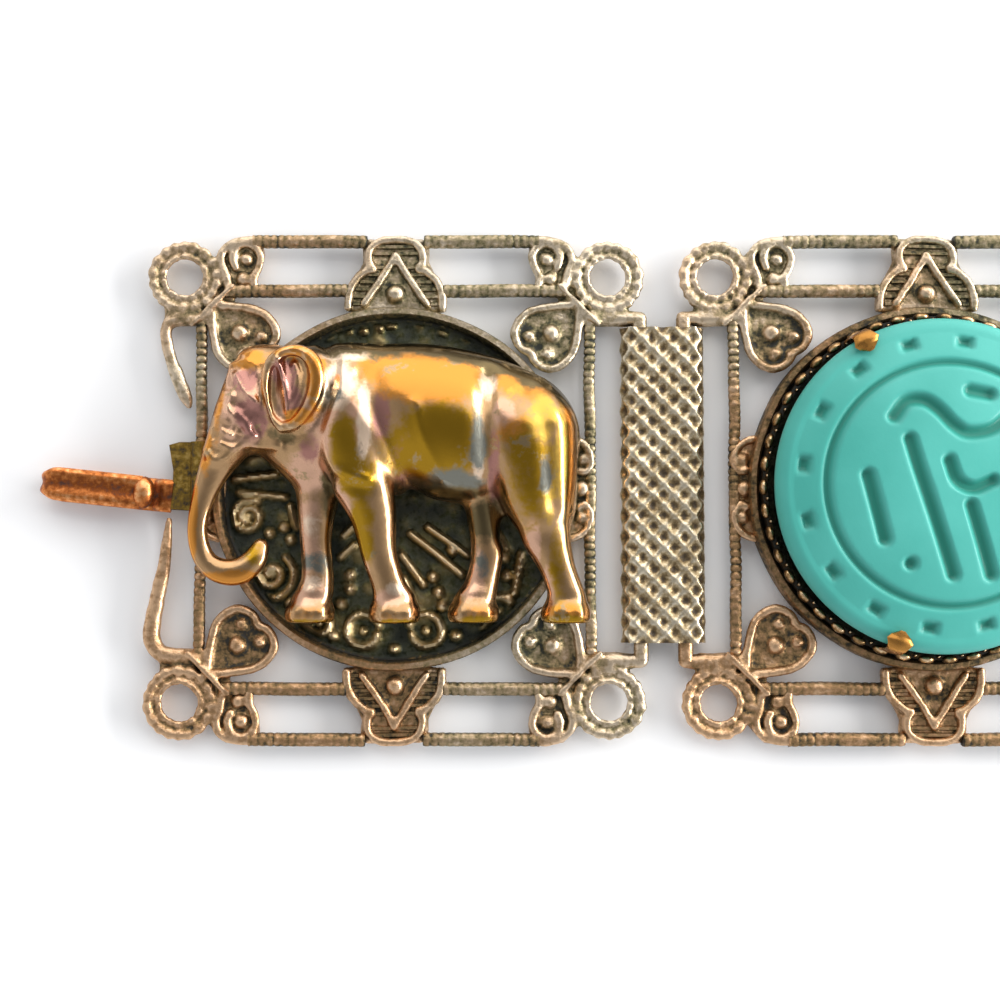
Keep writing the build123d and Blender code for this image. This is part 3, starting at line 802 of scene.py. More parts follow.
# Outlines and rims of a quarter's plates; the heart lies along X before it is turned to its corner
HEART_HALF = [(17.45, 0.0), (17.2, 0.5), (16.5, 1.15), (15.6, 1.8), (14.6, 2.26), (13.6, 2.24), (12.85, 1.85),
              (12.42, 1.1), (12.45, 0.45), (12.6, 0.0)]
HEART_RIM = [(17.3, 0.1), (16.45, 0.92), (15.55, 1.6), (14.6, 2.06), (13.7, 2.04), (13.0, 1.72), (12.66, 1.1),
             (12.6, 0.5), (12.8, 0.15)]
CORNER_WEB = [(12.4, 10.95), (15.5, 10.95), (15.6, 11.7), (15.7, 12.6), (14.2, 12.5), (12.5, 14.2),
              (12.3, 15.7), (11.0, 16.0), (10.9, 12.4)]
LOBE_PLATE = [(8.95, 16.7), (8.9, 15.6), (9.1, 14.9), (9.5, 14.4), (9.35, 13.2), (11.0, 12.9), (12.6, 12.6),
              (13.2, 13.6), (12.6, 15.2), (12.0, 16.0), (11.2, 16.9)]
LOBE_RIMS = [[(9.5, 13.4), (9.6, 14.2), (9.25, 14.9), (9.1, 15.6), (9.45, 16.25), (10.1, 16.5), (10.75, 16.2),
              (11.0, 15.5), (10.8, 14.9)],
             [(11.3, 13.4), (11.45, 14.4), (11.8, 15.3), (11.6, 16.1), (10.9, 16.55), (9.9, 16.75),
              (8.9, 16.7)]]
BELL_PLATE = [(-1.0, 16.9), (1.9, 16.88), (2.25, 16.3), (2.2, 15.3), (2.6, 14.5), (3.15, 13.7), (3.45, 12.8),
              (3.45, 11.9), (-1.0, 11.8)]
BELL_RIMS = [[(1.55, 14.7), (1.8, 15.3), (1.75, 16.0), (1.35, 16.5), (0.7, 16.74), (0.0, 16.78)],
             [(1.55, 14.9), (2.3, 14.4), (2.85, 13.8), (3.15, 13.0), (3.2, 12.1)],
             [(0.0, 15.75), (0.35, 15.1), (0.9, 14.2), (1.5, 13.3), (2.15, 12.4)]]
# Hatching of a bell: y, and from where to where in x
BELL_LINES = [(16.3, 0.0, 1.3), (15.85, 0.0, 1.5), (14.9, 0.75, 1.4), (14.4, 1.0, 1.9), (13.9, 1.35, 2.4),
              (13.4, 1.7, 2.7), (12.9, 2.0, 2.85), (12.4, 2.4, 2.85)]
WEB_PLATE = [(11.3, -1.0), (13.2, -1.0), (13.3, 2.0), (12.7, 3.0), (11.3, 3.4)]
WEB_RIM = [(11.7, 3.35), (12.4, 3.1), (12.95, 2.5), (13.05, 1.7), (12.7, 1.1), (12.2, 1.2)]
CLAY_STEP = 0.13
GREY_LEAN = 0.2              # how much greyer the metal is towards a panel's upper right

# The first panel's broken hinge bar, from its lugs: x, y and radius
BROKEN_ENDS = [
    [(-12.8, 11.45, 0.5), (-14.3, 11.45, 0.5), (-15.1, 11.2, 0.46), (-15.42, 10.6, 0.42), (-15.35, 9.8, 0.41),
     (-15.05, 8.6, 0.43), (-14.55, 7.3, 0.5), (-14.15, 6.3, 0.47), (-13.88, 5.6, 0.28)],
    [(-12.8, -11.2, 0.5), (-14.4, -11.1, 0.52), (-15.5, -10.95, 0.56), (-16.1, -10.1, 0.6),
     (-16.05, -8.8, 0.58), (-15.75, -7.2, 0.52), (-15.4, -5.3, 0.44), (-15.2, -3.6, 0.36),
     (-15.05, -2.1, 0.24)],
]


def turned(points, degrees):
    """Flat points turned about the panel's middle."""
    c, s = cos(radians(degrees)), sin(radians(degrees))
    return np.asarray(points, float) @ np.array([[c, s], [-s, c]])


def wire(points, z, radius):
    """Points of a limb at one height and one radius."""
    points = np.asarray(points, float)
    return np.column_stack([points, np.full(len(points), z), np.full(len(points), radius)])


def sculpt_quarter():
    """A quarter of the pierced frame: ring, heart, scrolls, half a bell and half a side web."""
    clay = Sculpture((CLAY_STEP / 2, CLAY_STEP / 2, 0.03), (17.6, 17.6, 2.01), CLAY_STEP)
    soft = 0.12
    clay.plate(CORNER_WEB, PLATE_LOW, 0.8, soft)
    for ring in RING_WIRES:
        clay.ring(RING_OFFSET, RING_OFFSET, *ring)
    half = np.array(HEART_HALF)
    clay.plate(turned(np.vstack([half, half[-2:0:-1] * (1, -1)]), 45), PLATE_LOW, 0.95, soft)
    for side in (1, -1):
        clay.limb(wire(turned(np.array(HEART_RIM) * (1, side), 45), 1.12, 0.31), 0.1)
        x, y = turned([(13.55, 0.85 * side)], 45)[0]
        clay.disc((x, y, 0.95), (0.43, 0.43, 0.42), 0.15)
    x, y = turned([(14.75, 0.0)], 45)[0]
    clay.disc((x, y, 0.95), (0.6, 0.6, 0.55), 0.15)
    clay.limb(wire([(13.6, 10.95), (10.95, 13.6)], 1.38, 0.22), 0.04)
    clay.plate(LOBE_PLATE, PLATE_LOW, 0.88, soft)
    for rim in LOBE_RIMS:
        clay.limb(wire(rim, 1.1, 0.3), 0.12)
    clay.disc((10.1, 15.45, 0.9), (0.5, 0.5, 0.45), 0.12)
    clay.disc((10.3, 14.1, 0.9), (0.5, 0.5, 0.45), 0.12)
    clay.plate(BELL_PLATE, PLATE_LOW, 0.92, soft)
    for rim, radius in zip(BELL_RIMS, (0.29, 0.3, 0.28)):
        clay.limb(wire(rim, 1.15, radius), 0.1)
    clay.disc((0, 13.1, 0.98), (0.62, 0.62, 0.6), 0.12)
    clay.plate(WEB_PLATE, PLATE_LOW, 0.9, soft)
    clay.limb(wire(WEB_RIM, 1.12, 0.28), 0.1)
    clay.disc((12.45, 1.95, 0.95), (0.4, 0.4, 0.4), 0.12)
    clay.disc((12.4, 0, 0.95), (0.55, 0.55, 0.5), 0.12)
    return clay


def sculpt_frame(broken):
    """The whole frame with its lugs, and its points' wear and painted shade."""
    clay = sculpt_quarter().mirrored()
    for side in ((1,) if broken else (1, -1)):
        for end in (1, -1):
            lug = [(side * 12.8, end * LUG_Y), (side * BAR_OFFSET, end * LUG_Y)]
            clay.limb(wire(lug, BAR_HEIGHT, BAR_RADIUS), 0.3)
    if broken:
        for stub in BROKEN_ENDS:
            clay.limb([(x, y, BAR_HEIGHT, radius) for x, y, radius in stub], 0.25)
    for side in (1, -1):
        for end in (1, -1):
            clay.bore(side * RING_OFFSET, end * RING_OFFSET, RING_HOLE)
    clay.field = clay.blurred(1)
    clay.roughen(CAST_WAVER, CAST_SEED, 4)
    vertices, quads, sharp = clay.surface(6)
    # Dark in recesses and lower down, as patina and painted shade; rubbed brighter on crests
    wear_and_shade = np.minimum(0.40 + 8.0 * sharp + 0.1 * (vertices[:, 2] - 1.05), 0.95)
    bag = Bag()
    bag.add(vertices, quads.tolist(), wear_and_shade)
    return bag


def ribbed_wires():
    """A quarter of the ribbed wires and the hatching of the bells."""
    bag = Bag()
    ribs = {"pitch": RIB_PITCH, "depth": RIB_DEPTH, "step": 0.114, "height": 1.1}
    tube(bag, [(1.9, OUTER_WIRE_Y, WIRE_HEIGHT), (9.6, OUTER_WIRE_Y, WIRE_HEIGHT)], WIRE_RADIUS, **ribs)
    tube(bag, [(3.2, INNER_WIRE_Y, WIRE_HEIGHT), (11.4, INNER_WIRE_Y, WIRE_HEIGHT)], WIRE_RADIUS, **ribs)
    for y, near, far in BELL_LINES:
        tube(bag, [(near, y, 0.9), (far, y, 0.9)], 0.17, 6, height=1.5, wear_and_shade=-0.2)
    return bag


def side_edge(side, broken):
    """Side bar and hinge bar."""
    bag = Bag()
    tube(bag, [(side * SIDE_BAR_OFFSET, -11.6, BAR_HEIGHT), (side * SIDE_BAR_OFFSET, 11.6, BAR_HEIGHT)],
         0.4, 10, pitch=0.5, depth=0.08, step=0.1)
    if not broken:
        tube(bag, [(side * BAR_OFFSET, -LUG_Y, BAR_HEIGHT), (side * BAR_OFFSET, LUG_Y, BAR_HEIGHT)],
             BAR_RADIUS, 14, wear_and_shade=0.1, step=0.5)
    return bag


# Ornament of the elephants' dishes: beads, coils (centre, radius, first angle, sweep) and ribs
DISH_BEADS = [(-8.3, -3.0), (-7.35, -2.6), (-6.9, -3.4), (-2.95, -5.8), (-2.9, -6.75), (-3.5, -7.7),
              (2.5, -5.9), (2.9, -6.9), (3.2, -7.8), (3.8, -4.1), (7.5, -7.3), (0.0, -10.7), (4.1, -9.8),
              (-4.1, -9.8),
              (-4.5, 10.4), (-0.3, 11.1), (1.6, 11.2), (-6.0, -9.2), (-7.2, 10.0), (7.2, -4.6), (7.4, -5.8),
              (6.0, -9.4), (-6.9, -7.6), (3.2, 10.7), (4.8, 10.2)]
DISH_COILS = [(-9.75, -1.9, 1.15, 60, 560), (-8.2, -5.7, 1.7, 150, 260), (-8.2, -5.7, 0.95, 150, 400),
              (-2.1, -9.5, 1.15, 20, 330), (2.1, -9.5, 1.15, 160, -330), (-2.2, 10.6, 1.1, 10, 170),
              (6.9, -8.2, 1.0, 30, 330), (-5.0, -8.9, 0.8, 200, 250)]
DISH_RIBS = [((1.0, -3.0), (4.4, -5.7)), ((0.4, -4.4), (1.9, -6.4)), ((2.2, -2.6), (4.8, -4.4)),
             ((-10.4, -0.3), (-7.4, -0.6)), ((-10.7, 0.6), (-8.0, 0.9)), ((-8.1, 1.6), (-6.2, 0.1)),
             ((8.4, -4.4), (7.9, -7.0)), ((-3.6, -4.6), (-2.7, -3.8)), ((-7.0, -1.2), (-6.5, -2.6)),
             ((-3.4, -3.2), (-2.6, -2.4)), ((6.9, -3.0), (7.4, -4.0)), ((0.6, -6.0), (1.4, -7.6))]
DISH_LUMPS = 520              # soft grains strewn over the floor
DISH_SEGMENTS = 380
DISH_RINGS = 60
DISH_WALL = 11.2
SPIRAL_POINTS = 40
LUMP_SEED = 5
# Radius and height of the ornament's beads, the coils' middles, and the coils and ribs themselves
BEAD_SIZE = (0.5, 0.68)
COIL_MIDDLE_SIZE = (0.4, 0.5)
RIB_SIZE = (0.36, 0.6)


def raised(height, away, radius, top):
    """The height, with a rounded form raised where its middle is near."""
    return np.maximum(height, top * (1 - (away / radius) ** 2))


def dish_relief(x, y):
    """Height of the cast ornament above the dish's floor, over fine grain."""
    lumps = np.random.default_rng(LUMP_SEED)
    height = np.zeros(x.shape)
    for _ in range(DISH_LUMPS):
        reach = DISH_WALL * np.sqrt(lumps.uniform())
        turn = lumps.uniform(0, 2 * pi)
        size = lumps.uniform(0.22, 0.6)
        away = ((x - reach * cos(turn)) ** 2 + (y - reach * sin(turn)) ** 2) / size ** 2
        height += lumps.uniform(-0.05, 0.18) * np.exp(-away)
    for bead_x, bead_y in DISH_BEADS:
        height = raised(height, np.hypot(x - bead_x, y - bead_y), *BEAD_SIZE)
    coils = [spiral(cx, cy, radius, (0.3 if abs(sweep) > 350 else 0.85) * radius, start, sweep)
             for cx, cy, radius, start, sweep in DISH_COILS]
    for cx, cy, radius, _, _ in DISH_COILS:
        height = raised(height, np.hypot(x - cx, y - cy), *COIL_MIDDLE_SIZE)
    for path in coils + [np.array(rib) for rib in DISH_RIBS]:
        height = raised(height, distance_to_path(x, y, path), *RIB_SIZE)
    return height * np.clip((DISH_WALL - np.hypot(x, y)) / 0.4, 0, 1)


def dish(design):
    """The medallion's dish: turned, plain under a stone, with cast ornament under an elephant."""
    bag = Bag()
    # Painted shade: the rim is darker round a stone, beside the taller bezel, and the floor is dark with
    # shade and patina, brighter where its ornament stands higher
    rim = 0.68 if design == "elephant" else 0.42
    profile = [(0.01, 0.0), (DISH_RADIUS - 0.15, 0.0), (DISH_RADIUS, 0.15), (DISH_RADIUS, 1.5),
               (12.0, DISH_RIM_TOP), (11.66, DISH_RIM_TOP), (11.52, 1.55), (11.4, DISH_FLOOR + 0.1)]
    wear_and_shade = [0.1, 0.1, 0.2, 0.35, rim, rim, 0.2, 0.0]
    rings = DISH_RINGS if design == "elephant" else 2
    profile += [(radius, DISH_FLOOR) for radius in np.linspace(DISH_WALL, 0.01, rings)]
    wear_and_shade += [0.06] * rings
    lathe(bag, profile, DISH_SEGMENTS if design == "elephant" else 160, wear_and_shade)
    if design == "elephant":
        points = bag.points[0]
        on_floor = np.tile(np.arange(len(profile)) >= len(profile) - rings, DISH_SEGMENTS)
        height = dish_relief(points[:, 0], points[:, 1]) * on_floor
        points[:, 2] += height
        bag.wear_and_shade[0] = bag.wear_and_shade[0] + 1.3 * height
    return bag


whole_frame = sculpt_frame(False)
first_frame = sculpt_frame(True)


def panel(index):
    """One pierced panel; the first has a broken outer bar."""
    broken = index == 0
    bag = ribbed_wires().quarters()
    bag.add_bag(first_frame if broken else whole_frame)
    bag.add_bag(side_edge(1, False))
    bag.add_bag(side_edge(-1, broken))
    bag.add_bag(dish(PANEL_DESIGNS[index]))
    number = index + 1
    points = np.concatenate(bag.points)
    in_dish = (np.hypot(points[:, 0], points[:, 1]) < DISH_WALL + 0.1).astype(float)
    grey = GREY_LEAN * (points[:, 0] + points[:, 1]) / PANEL_REACH
    finish_piece(f"filigree_panel_{number}", bag, panel_centre(index), filigree_metal, f"panel_{number}",
                 [f"panel_frame_{number}"], wobble=WOBBLE, share=PANEL_SHARE,
                 more={"dish": in_dish, "grey": grey})


for index in range(len(PANEL_DESIGNS)):
    panel(index)


# The elephant's limbs before smoothing: how softly each joins, and its sections as x, y, z and radius
BODY_LIMBS = [
    # Barrel, neck, head, crown and jaw
    (0.01, [(-4.2, 4.7, 0, 4.6), (-1, 4.6, 0, 4.95), (2, 4.4, 0, 5.15), (5, 3.9, 0, 5.05),
            (7.6, 3.2, 0, 4.7)]),
    (0.8, [(-8.2, 5.6, 0.5, 3.3), (-6.0, 5.3, 0.5, 3.9), (-3.5, 5.0, 0.4, 4.5)]),
    (0.6, [(-8.1, 6.9, 0.6, 2.55), (-8.75, 5.6, 0.9, 2.4), (-9.5, 4.4, 0.9, 2.1)]),
    (0.5, [(-8.9, 7.6, 0.9, 1.6), (-8.7, 7.5, 0.9, 1.6)]),
    (0.8, [(-7.9, 3.9, 1.0, 1.7), (-6.4, 2.6, 0.8, 1.9), (-5.2, 1.2, 0.6, 1.8)]),
    # Far legs
    (0.4, [(6.3, -1, 0.2, 1.7), (6.2, -4, 0.3, 1.15), (5.8, -6.3, 0.35, 1.1), (5.35, -7.7, 0.4, 1.45),
           (5.25, -8.3, 0.3, 1.75)]),
    (0.4, [(-4.9, 0.8, 0.2, 1.7), (-5.15, -3, 0.3, 1.1), (-5.0, -6, 0.3, 1.1), (-5.35, -7.7, 0.4, 1.4),
           (-5.5, -8.3, 0.3, 1.7)]),
    # Near legs
    (0.35, [(8.6, 3.4, 1.0, 3.5), (9.0, 0.4, 1.3, 2.9), (9.8, -2.6, 1.2, 1.8), (10.7, -5.2, 1.1, 1.2),
            (11.35, -7.2, 1.0, 1.25), (11.3, -8.3, 0.8, 1.7)]),
    (0.25, [(-3.3, 5.4, 1.6, 2.5), (-3.0, 3.4, 2.0, 2.7), (-2.2, 0.9, 2.0, 2.15), (-1.3, -1.6, 1.8, 1.6),
            (-0.9, -4.3, 1.5, 1.2), (-0.2, -6.6, 1.3, 1.15), (0.1, -7.8, 1.1, 1.55), (0.1, -8.3, 1.0, 1.75)]),
    # Trunk
    (0.5, [(-9.9, 4.4, 1.3, 1.9), (-10.75, 2.8, 1.4, 1.5), (-11.6, 1.3, 1.2, 1.12), (-12.3, -0.4, 1.1, 0.85),
           (-12.75, -2, 1, 0.72), (-12.8, -3.2, 1, 0.7), (-12.5, -4.4, 0.95, 0.74), (-11.9, -5.2, 0.95, 0.8),
           (-10.9, -5.6, 1, 0.9), (-9.8, -5.45, 1.05, 0.92), (-9.0, -4.7, 1, 0.82),
           (-8.65, -3.85, 0.9, 0.58)]),
]
TAIL = [(10.1, 6.3, 1.4, 0.4), (10.95, 5.1, 1.5, 0.45), (11.5, 3.0, 1.5, 0.45), (11.6, 0.8, 1.5, 0.42),
        (11.3, -1.6, 1.5, 0.5)]
EAR_RIM = [(-7.0, 3.7, 3.35, 0.36), (-7.6, 4.4, 3.35, 0.28), (-7.9, 5.5, 3.42, 0.28),
           (-8.05, 6.7, 3.5, 0.3), (-7.75, 7.75, 3.6, 0.36), (-6.95, 8.35, 3.7, 0.42),
           (-5.9, 8.45, 3.78, 0.48), (-5.1, 7.95, 3.82, 0.54), (-4.75, 7.0, 3.82, 0.56),
           (-4.88, 5.9, 3.8, 0.54), (-5.35, 4.85, 3.72, 0.5), (-6.15, 3.95, 3.55, 0.44),
           (-7.0, 3.7, 3.35, 0.36)]

# Furrows, and ridges where the depth is negative: path, depth, width on its left and on its right
SIDE_FURROWS = [
    # Shoulder's edge, thigh's edge, neck
    ([(-1.9, 6.9), (-1.3, 5.3), (-0.4, 3.4), (0.5, 1.4), (1.1, 0.0)], 0.55, 1.4, 0.6),
    ([(6.2, 7.0), (6.15, 4.6), (6.25, 2.0), (6.6, -0.6), (7.3, -3.0)], 0.6, 0.7, 0.85),
    ([(-4.0, 6.2), (-4.4, 4.4), (-4.7, 2.4), (-4.3, 0.4)], 0.3, 0.5, 0.9),
    # Rib, elbow twice, knee, and beside the tail
    ([(1.6, 5.2), (2.0, 3.4), (2.7, 1.6), (3.3, 0.4)], -0.12, 0.35),
    ([(-3.5, 0.9), (-2.5, 0.6), (-1.5, 0.3)], -0.18, 0.35),
    ([(-3.6, 0.2), (-2.5, -0.15), (-1.4, -0.4)], 0.16, 0.4),
    ([(7.9, -2.9), (9.2, -3.2), (10.6, -3.0)], 0.1, 0.6),
    ([(9.0, 6.2), (9.9, 3.5), (10.1, 0.5), (10.4, -1.5)], 0.22, 0.6),
]
EAR_GAP = ([(-4.6, 9.3), (-3.85, 8.2), (-3.7, 6.9), (-3.95, 5.5), (-4.6, 4.2), (-5.6, 3.2), (-6.9, 2.8)],
           0.28, 0.5, 0.32)
EAR_FURROWS = [
    ([(-7.2, 7.9), (-6.95, 6.9), (-6.7, 5.9), (-6.6, 4.7)], -0.28, 0.24),
    ([(-6.2, 7.7), (-5.95, 6.9), (-6.05, 5.9), (-6.3, 5.2)], -0.16, 0.24),
    ([(-8.5, 7.6), (-8.62, 6.5), (-8.3, 5.2), (-7.95, 4.0)], 0.2, 0.22),
]
# Hollows of the face and the bumps of brow and eye: x, y, half sizes, depth, turn and steepness
FACE_HOLLOWS = [
    (-9.1, 7.1, 0.7, 0.85, 0.22, 10, 2), (-10.1, 3.6, 0.62, 0.9, 0.2, -15, 2),
    (-8.6, 3.8, 0.5, 0.9, 0.18, -10, 2), (-9.4, 4.8, 0.42, 0.5, 0.24, 15, 1),
    (-10.6, 6.4, 0.4, 0.45, 0.18, 20, 1), (-8.55, 4.7, 0.25, 0.3, 0.16, 0, 1),
    (-9.5, 8.9, 1.0, 0.5, -0.12, 0, 2), (-9.35, 4.75, 0.2, 0.2, -0.16, 15, 1),
]
TRUNK_WRINKLES = [5.9, 5.1, 4.3, 3.5, 2.7]
FACE_FURROWS = [
    ([(-10.7, 7.9), (-10.75, 6.7), (-10.3, 5.8), (-10.6, 4.9), (-10.1, 4.1), (-10.4, 3.2)], -0.2, 0.2),
    ([(-10.6, 8.0), (-9.7, 8.15), (-8.9, 7.8), (-8.6, 7.2)], -0.16, 0.24),
    ([(-10.1, 4.4), (-9.5, 3.7), (-8.9, 3.1)], -0.16, 0.2),
    ([(-10.2, 7.2), (-9.8, 6.6), (-9.35, 5.9), (-8.8, 5.4)], -0.26, 0.25),
    ([(-9.95, 4.7), (-9.4, 4.0), (-8.8, 3.2)], -0.18, 0.24),
    ([(-10.3, 3.2), (-9.7, 3.1), (-9.2, 3.0)], -0.16, 0.24),
    ([(-12.1, 2.2), (-11.6, 1.6), (-10.8, 1.8), (-9.7, 2.6), (-8.5, 2.5), (-7.3, 2.5)], -0.24, 0.3),
    ([(-11.2, 3.4), (-11.5, 2.6), (-11.2, 2.2)], 0.1, 0.25),
]
FOOT_PLACES = [-5.5, 0.2, 5.3, 11.3]


def sculpt_elephant():
    """The elephant in profile, flat at its back, as vertices, quads and how sharp each vertex is."""
    clay = Sculpture((-14.6, -9.6, -0.42), (13.6, 10.6, 5.1), GRID_STEP)
    for soft, sections in BODY_LIMBS:
        clay.limb(sections, soft)
    clay.cut_below(1, SOLE_SOFT_Y, 0.3)
    clay.field = clay.blurred(4)
    for furrow in SIDE_FURROWS:
        clay.press(*furrow)
    clay.limb(TAIL, 0.15)
    clay.press(*EAR_GAP)
    clay.disc((-6.35, 6.2, 2.95), (1.85, 2.65, 1.05), 0.25)
    clay.limb(EAR_RIM, 0.12)
    clay.hollow(-6.6, 6.15, 1.2, 2.1, 0.42, -10, 3)
    for furrow in EAR_FURROWS:
        clay.press(*furrow)
    for hollow in FACE_HOLLOWS:
        clay.hollow(*hollow)
    for y in TRUNK_WRINKLES:
        start = (-11.9 + 0.28 * (y - 2.8), y + 0.2)
        middle = (-11.2 + 0.25 * (y - 2.8), y)
        clay.press([start, middle, (-10.5, y - 0.25)], -0.16, 0.19)
    for furrow in FACE_FURROWS:
        clay.press(*furrow)
    for x in FOOT_PLACES:
        clay.press([(x - 1.4, -7.5), (x, -7.3), (x + 1.4, -7.5)], 0.08, 0.35)
        for aside in (-0.9, 0.0, 0.9):
            clay.hollow(x + aside, -8.35, 0.4, 0.5, -0.2, 0, 1)
    clay.cut_below(1, SOLE_Y, 0.2)
    clay.cut_below(2, 0.0, 0.05)
    return clay.surface(8)


# Colour areas of the elephant, its painted reflections, highlights and shade and its rose tone: centre, half
# sizes, strength
ELEPHANT_TONES_AND_PAINTED_LIGHT = {
    "rose": [(-10.0, 5.4, 1.7, 3.0, 1.0), (-4.4, 4.0, 1.3, 2.4, 1.0), (-5.3, 0.8, 1.3, 1.4, 1.0),
             (-5.5, -3.2, 0.9, 3.0, 1.0), (-5.7, -6.9, 1.2, 1.0, 1.0), (-3.2, -1.6, 0.6, 2.2, 1.0),
             (-2.0, -5.0, 0.5, 1.9, 1.0), (-0.1, -7.3, 1.1, 0.6, 1.0), (9.1, -4.0, 0.6, 2.0, 1.0),
             (10.1, -6.6, 0.5, 1.4, 1.0), (5.1, -5.6, 1.0, 1.8, 1.0), (-6.7, 5.2, 0.8, 1.4, 1.0),
             (1.4, 0.3, 1.3, 0.6, 0.9), (7.3, 4.6, 0.7, 1.2, 1.0), (-2.2, 4.4, 0.7, 2.4, 0.9)],
    "gold": [(2.6, 7.0, 3.4, 2.0, 1.3), (-0.6, 7.6, 1.9, 1.3, 1.0), (8.7, 6.8, 2.2, 1.5, 1.1),
             (8.2, 3.4, 1.3, 0.9, 0.8), (-9.6, 8.3, 1.6, 0.8, 1.0), (-4.75, 6.9, 0.6, 2.1, 1.3),
             (-6.2, 8.6, 1.9, 0.45, 1.2), (-5.9, 4.3, 1.0, 0.6, 1.2), (-8.15, 6.5, 0.25, 1.5, 0.9),
             (-13.2, -1.4, 0.5, 4.4, 1.2), (-10.6, -6.1, 3.0, 0.6, 1.1), (-12.2, 2.4, 0.5, 1.8, 1.0),
             (-11.3, 5.6, 0.35, 2.6, 0.9), (11.4, 2.4, 0.4, 4.0, 1.0), (-5.7, -8.4, 1.7, 0.6, 0.6),
             (0.2, -8.5, 1.6, 0.5, 0.6), (5.1, -8.4, 1.6, 0.6, 0.6), (11.3, -8.3, 1.6, 0.7, 0.7)],
    "olive": [(2.8, 2.7, 3.0, 2.6, 1.1), (-3.0, 2.6, 0.9, 1.9, 1.0), (-2.2, 0.6, 1.2, 1.6, 1.0),
              (9.0, 0.6, 1.9, 3.4, 0.75), (10.7, -5.0, 0.6, 2.6, 0.8), (-1.9, -2.9, 0.8, 2.2, 1.0),
              (-5.6, -8.9, 1.8, 0.3, 1.0), (0.2, -8.9, 1.7, 0.3, 1.0), (5.2, -8.8, 1.5, 0.4, 1.0),
              (11.3, -8.8, 1.5, 0.4, 1.0), (-9.0, -4.2, 0.6, 0.9, 0.7)],
    "lemon": [(9.9, 4.3, 1.1, 1.6, 0.9), (10.9, 2.2, 0.45, 3.4, 0.9), (10.2, -1.2, 0.5, 1.4, 0.7),
              (8.0, 5.9, 0.7, 0.6, 0.7)],
    "mauve": [(-0.55, 4.4, 0.6, 1.7, 1.0), (0.6, 1.8, 0.5, 1.6, 1.0), (-9.5, 6.9, 0.8, 0.9, 1.0),
              (-9.1, 4.3, 1.1, 1.3, 1.0), (-6.9, 7.1, 0.8, 1.0, 1.0), (-6.3, 5.3, 0.6, 1.1, 1.0),
              (6.6, 0.8, 0.4, 2.6, 1.0), (-5.2, 2.5, 0.7, 0.9, 0.9)],
    "pale": [(-3.0, 8.6, 1.6, 0.7, 1.0), (6.2, 6.5, 0.6, 1.2, 0.9), (-3.2, 6.6, 1.0, 1.7, 1.1),
             (3.6, 9.0, 2.8, 0.3, 0.7), (-1.7, 4.2, 0.4, 2.6, 1.0), (-5.2, -2.7, 0.7, 0.9, 0.8),
             (-5.4, -6.3, 0.7, 0.6, 0.7), (0.2, -6.7, 0.6, 0.4, 0.7), (-10.1, 8.4, 0.5, 0.4, 0.8),
             (5.6, 1.0, 0.35, 0.8, 0.9)],
    "grey": [(-5.1, -4.9, 1.0, 0.7, 0.9), (9.9, 0.4, 0.35, 1.0, 0.8), (-3.5, 5.7, 0.7, 0.4, 0.7),
             (5.6, 2.7, 0.5, 1.9, 0.9), (5.9, -5.2, 0.4, 0.9, 0.8),
             (3.9, 0.1, 1.9, 0.8, 0.9)],
    "painted_shade": [(6.1, -2.3, 1.3, 1.7, 0.9), (-4.1, -0.7, 0.6, 1.8, 0.9), (-6.6, 3.0, 0.8, 0.4, 0.8),
             (3.4, -0.5, 2.6, 0.4, 0.9), (-7.6, 3.3, 0.5, 0.4, 0.7)],
}

vertices, quads, sharp = sculpt_elephant()
elephant_tones_and_painted_light = {}
for label, areas in ELEPHANT_TONES_AND_PAINTED_LIGHT.items():
    strength = np.zeros(len(vertices))
    for x, y, half_width, half_height, amount in areas:
        away = ((vertices[:, 0] - x) / half_width) ** 2 + ((vertices[:, 1] - y) / half_height) ** 2
        strength = np.maximum(strength, amount * np.exp(-0.7 * away ** 2))
    elephant_tones_and_painted_light[label] = strength
# Painted shade low along the back's edge, where it drops to the dish
back_edge_shade = (np.clip((2.9 - vertices[:, 2]) / 0.8, 0, 1) * np.clip(vertices[:, 1] - 4.5, 0, 1)
                * np.clip((vertices[:, 0] + 8.0) / 1.5, 0, 1))
elephant_tones_and_painted_light["painted_shade"] = np.maximum(elephant_tones_and_painted_light["painted_shade"], back_edge_shade)
# Worn bright on crests, with dirt and painted shade in creases, and painted shade low near the dish and on
# the soles
rise_share = np.clip(vertices[:, 2] / 1.3, 0, 1)
elephant_wear_and_shade = np.clip(0.52 + 3.0 * sharp, 0, 1) * (0.25 + 0.75 * rise_share)
elephant_wear_and_shade[vertices[:, 1] < SOLE_TOP_Y] *= 0.15
elephant_bag = Bag()
elephant_bag.add(vertices + (0, 0, ELEPHANT_BASE), quads.tolist(), elephant_wear_and_shade)
for index in panels_with("elephant"):
    number = index + 1
    finish_piece(f"elephant_relief_{number}", elephant_bag, panel_centre(index), elephant_copper,
                 f"panel_{number}", [f"elephant_{number}"], sharp=0, more=elephant_tones_and_painted_light,
                 share=ELEPHANT_SHARE)


# Seal stones

# Strokes and dots cut in the face, as shares of its ring's radius
SEAL_STROKES = [
    [(-0.46, 0.55), (-0.36, 0.67), (-0.22, 0.68), (-0.10, 0.60), (0.02, 0.47), (0.14, 0.41), (0.34, 0.45),
     (0.52, 0.60)],
    [(-0.34, 0.36), (-0.27, 0.10), (-0.13, -0.34), (0.00, -0.74)],
    [(-0.68, 0.07), (-0.55, -0.45)],
    [(0.14, -0.18), (0.31, -0.74)],
    [(-0.03, 0.18), (0.03, 0.02), (0.16, -0.04), (0.32, 0.02)],
    [(0.17, 0.76), (0.33, 0.73)],
    [(0.58, 0.14), (0.66, -0.42)],
]
SEAL_DOTS = [(-0.34, -0.65)]


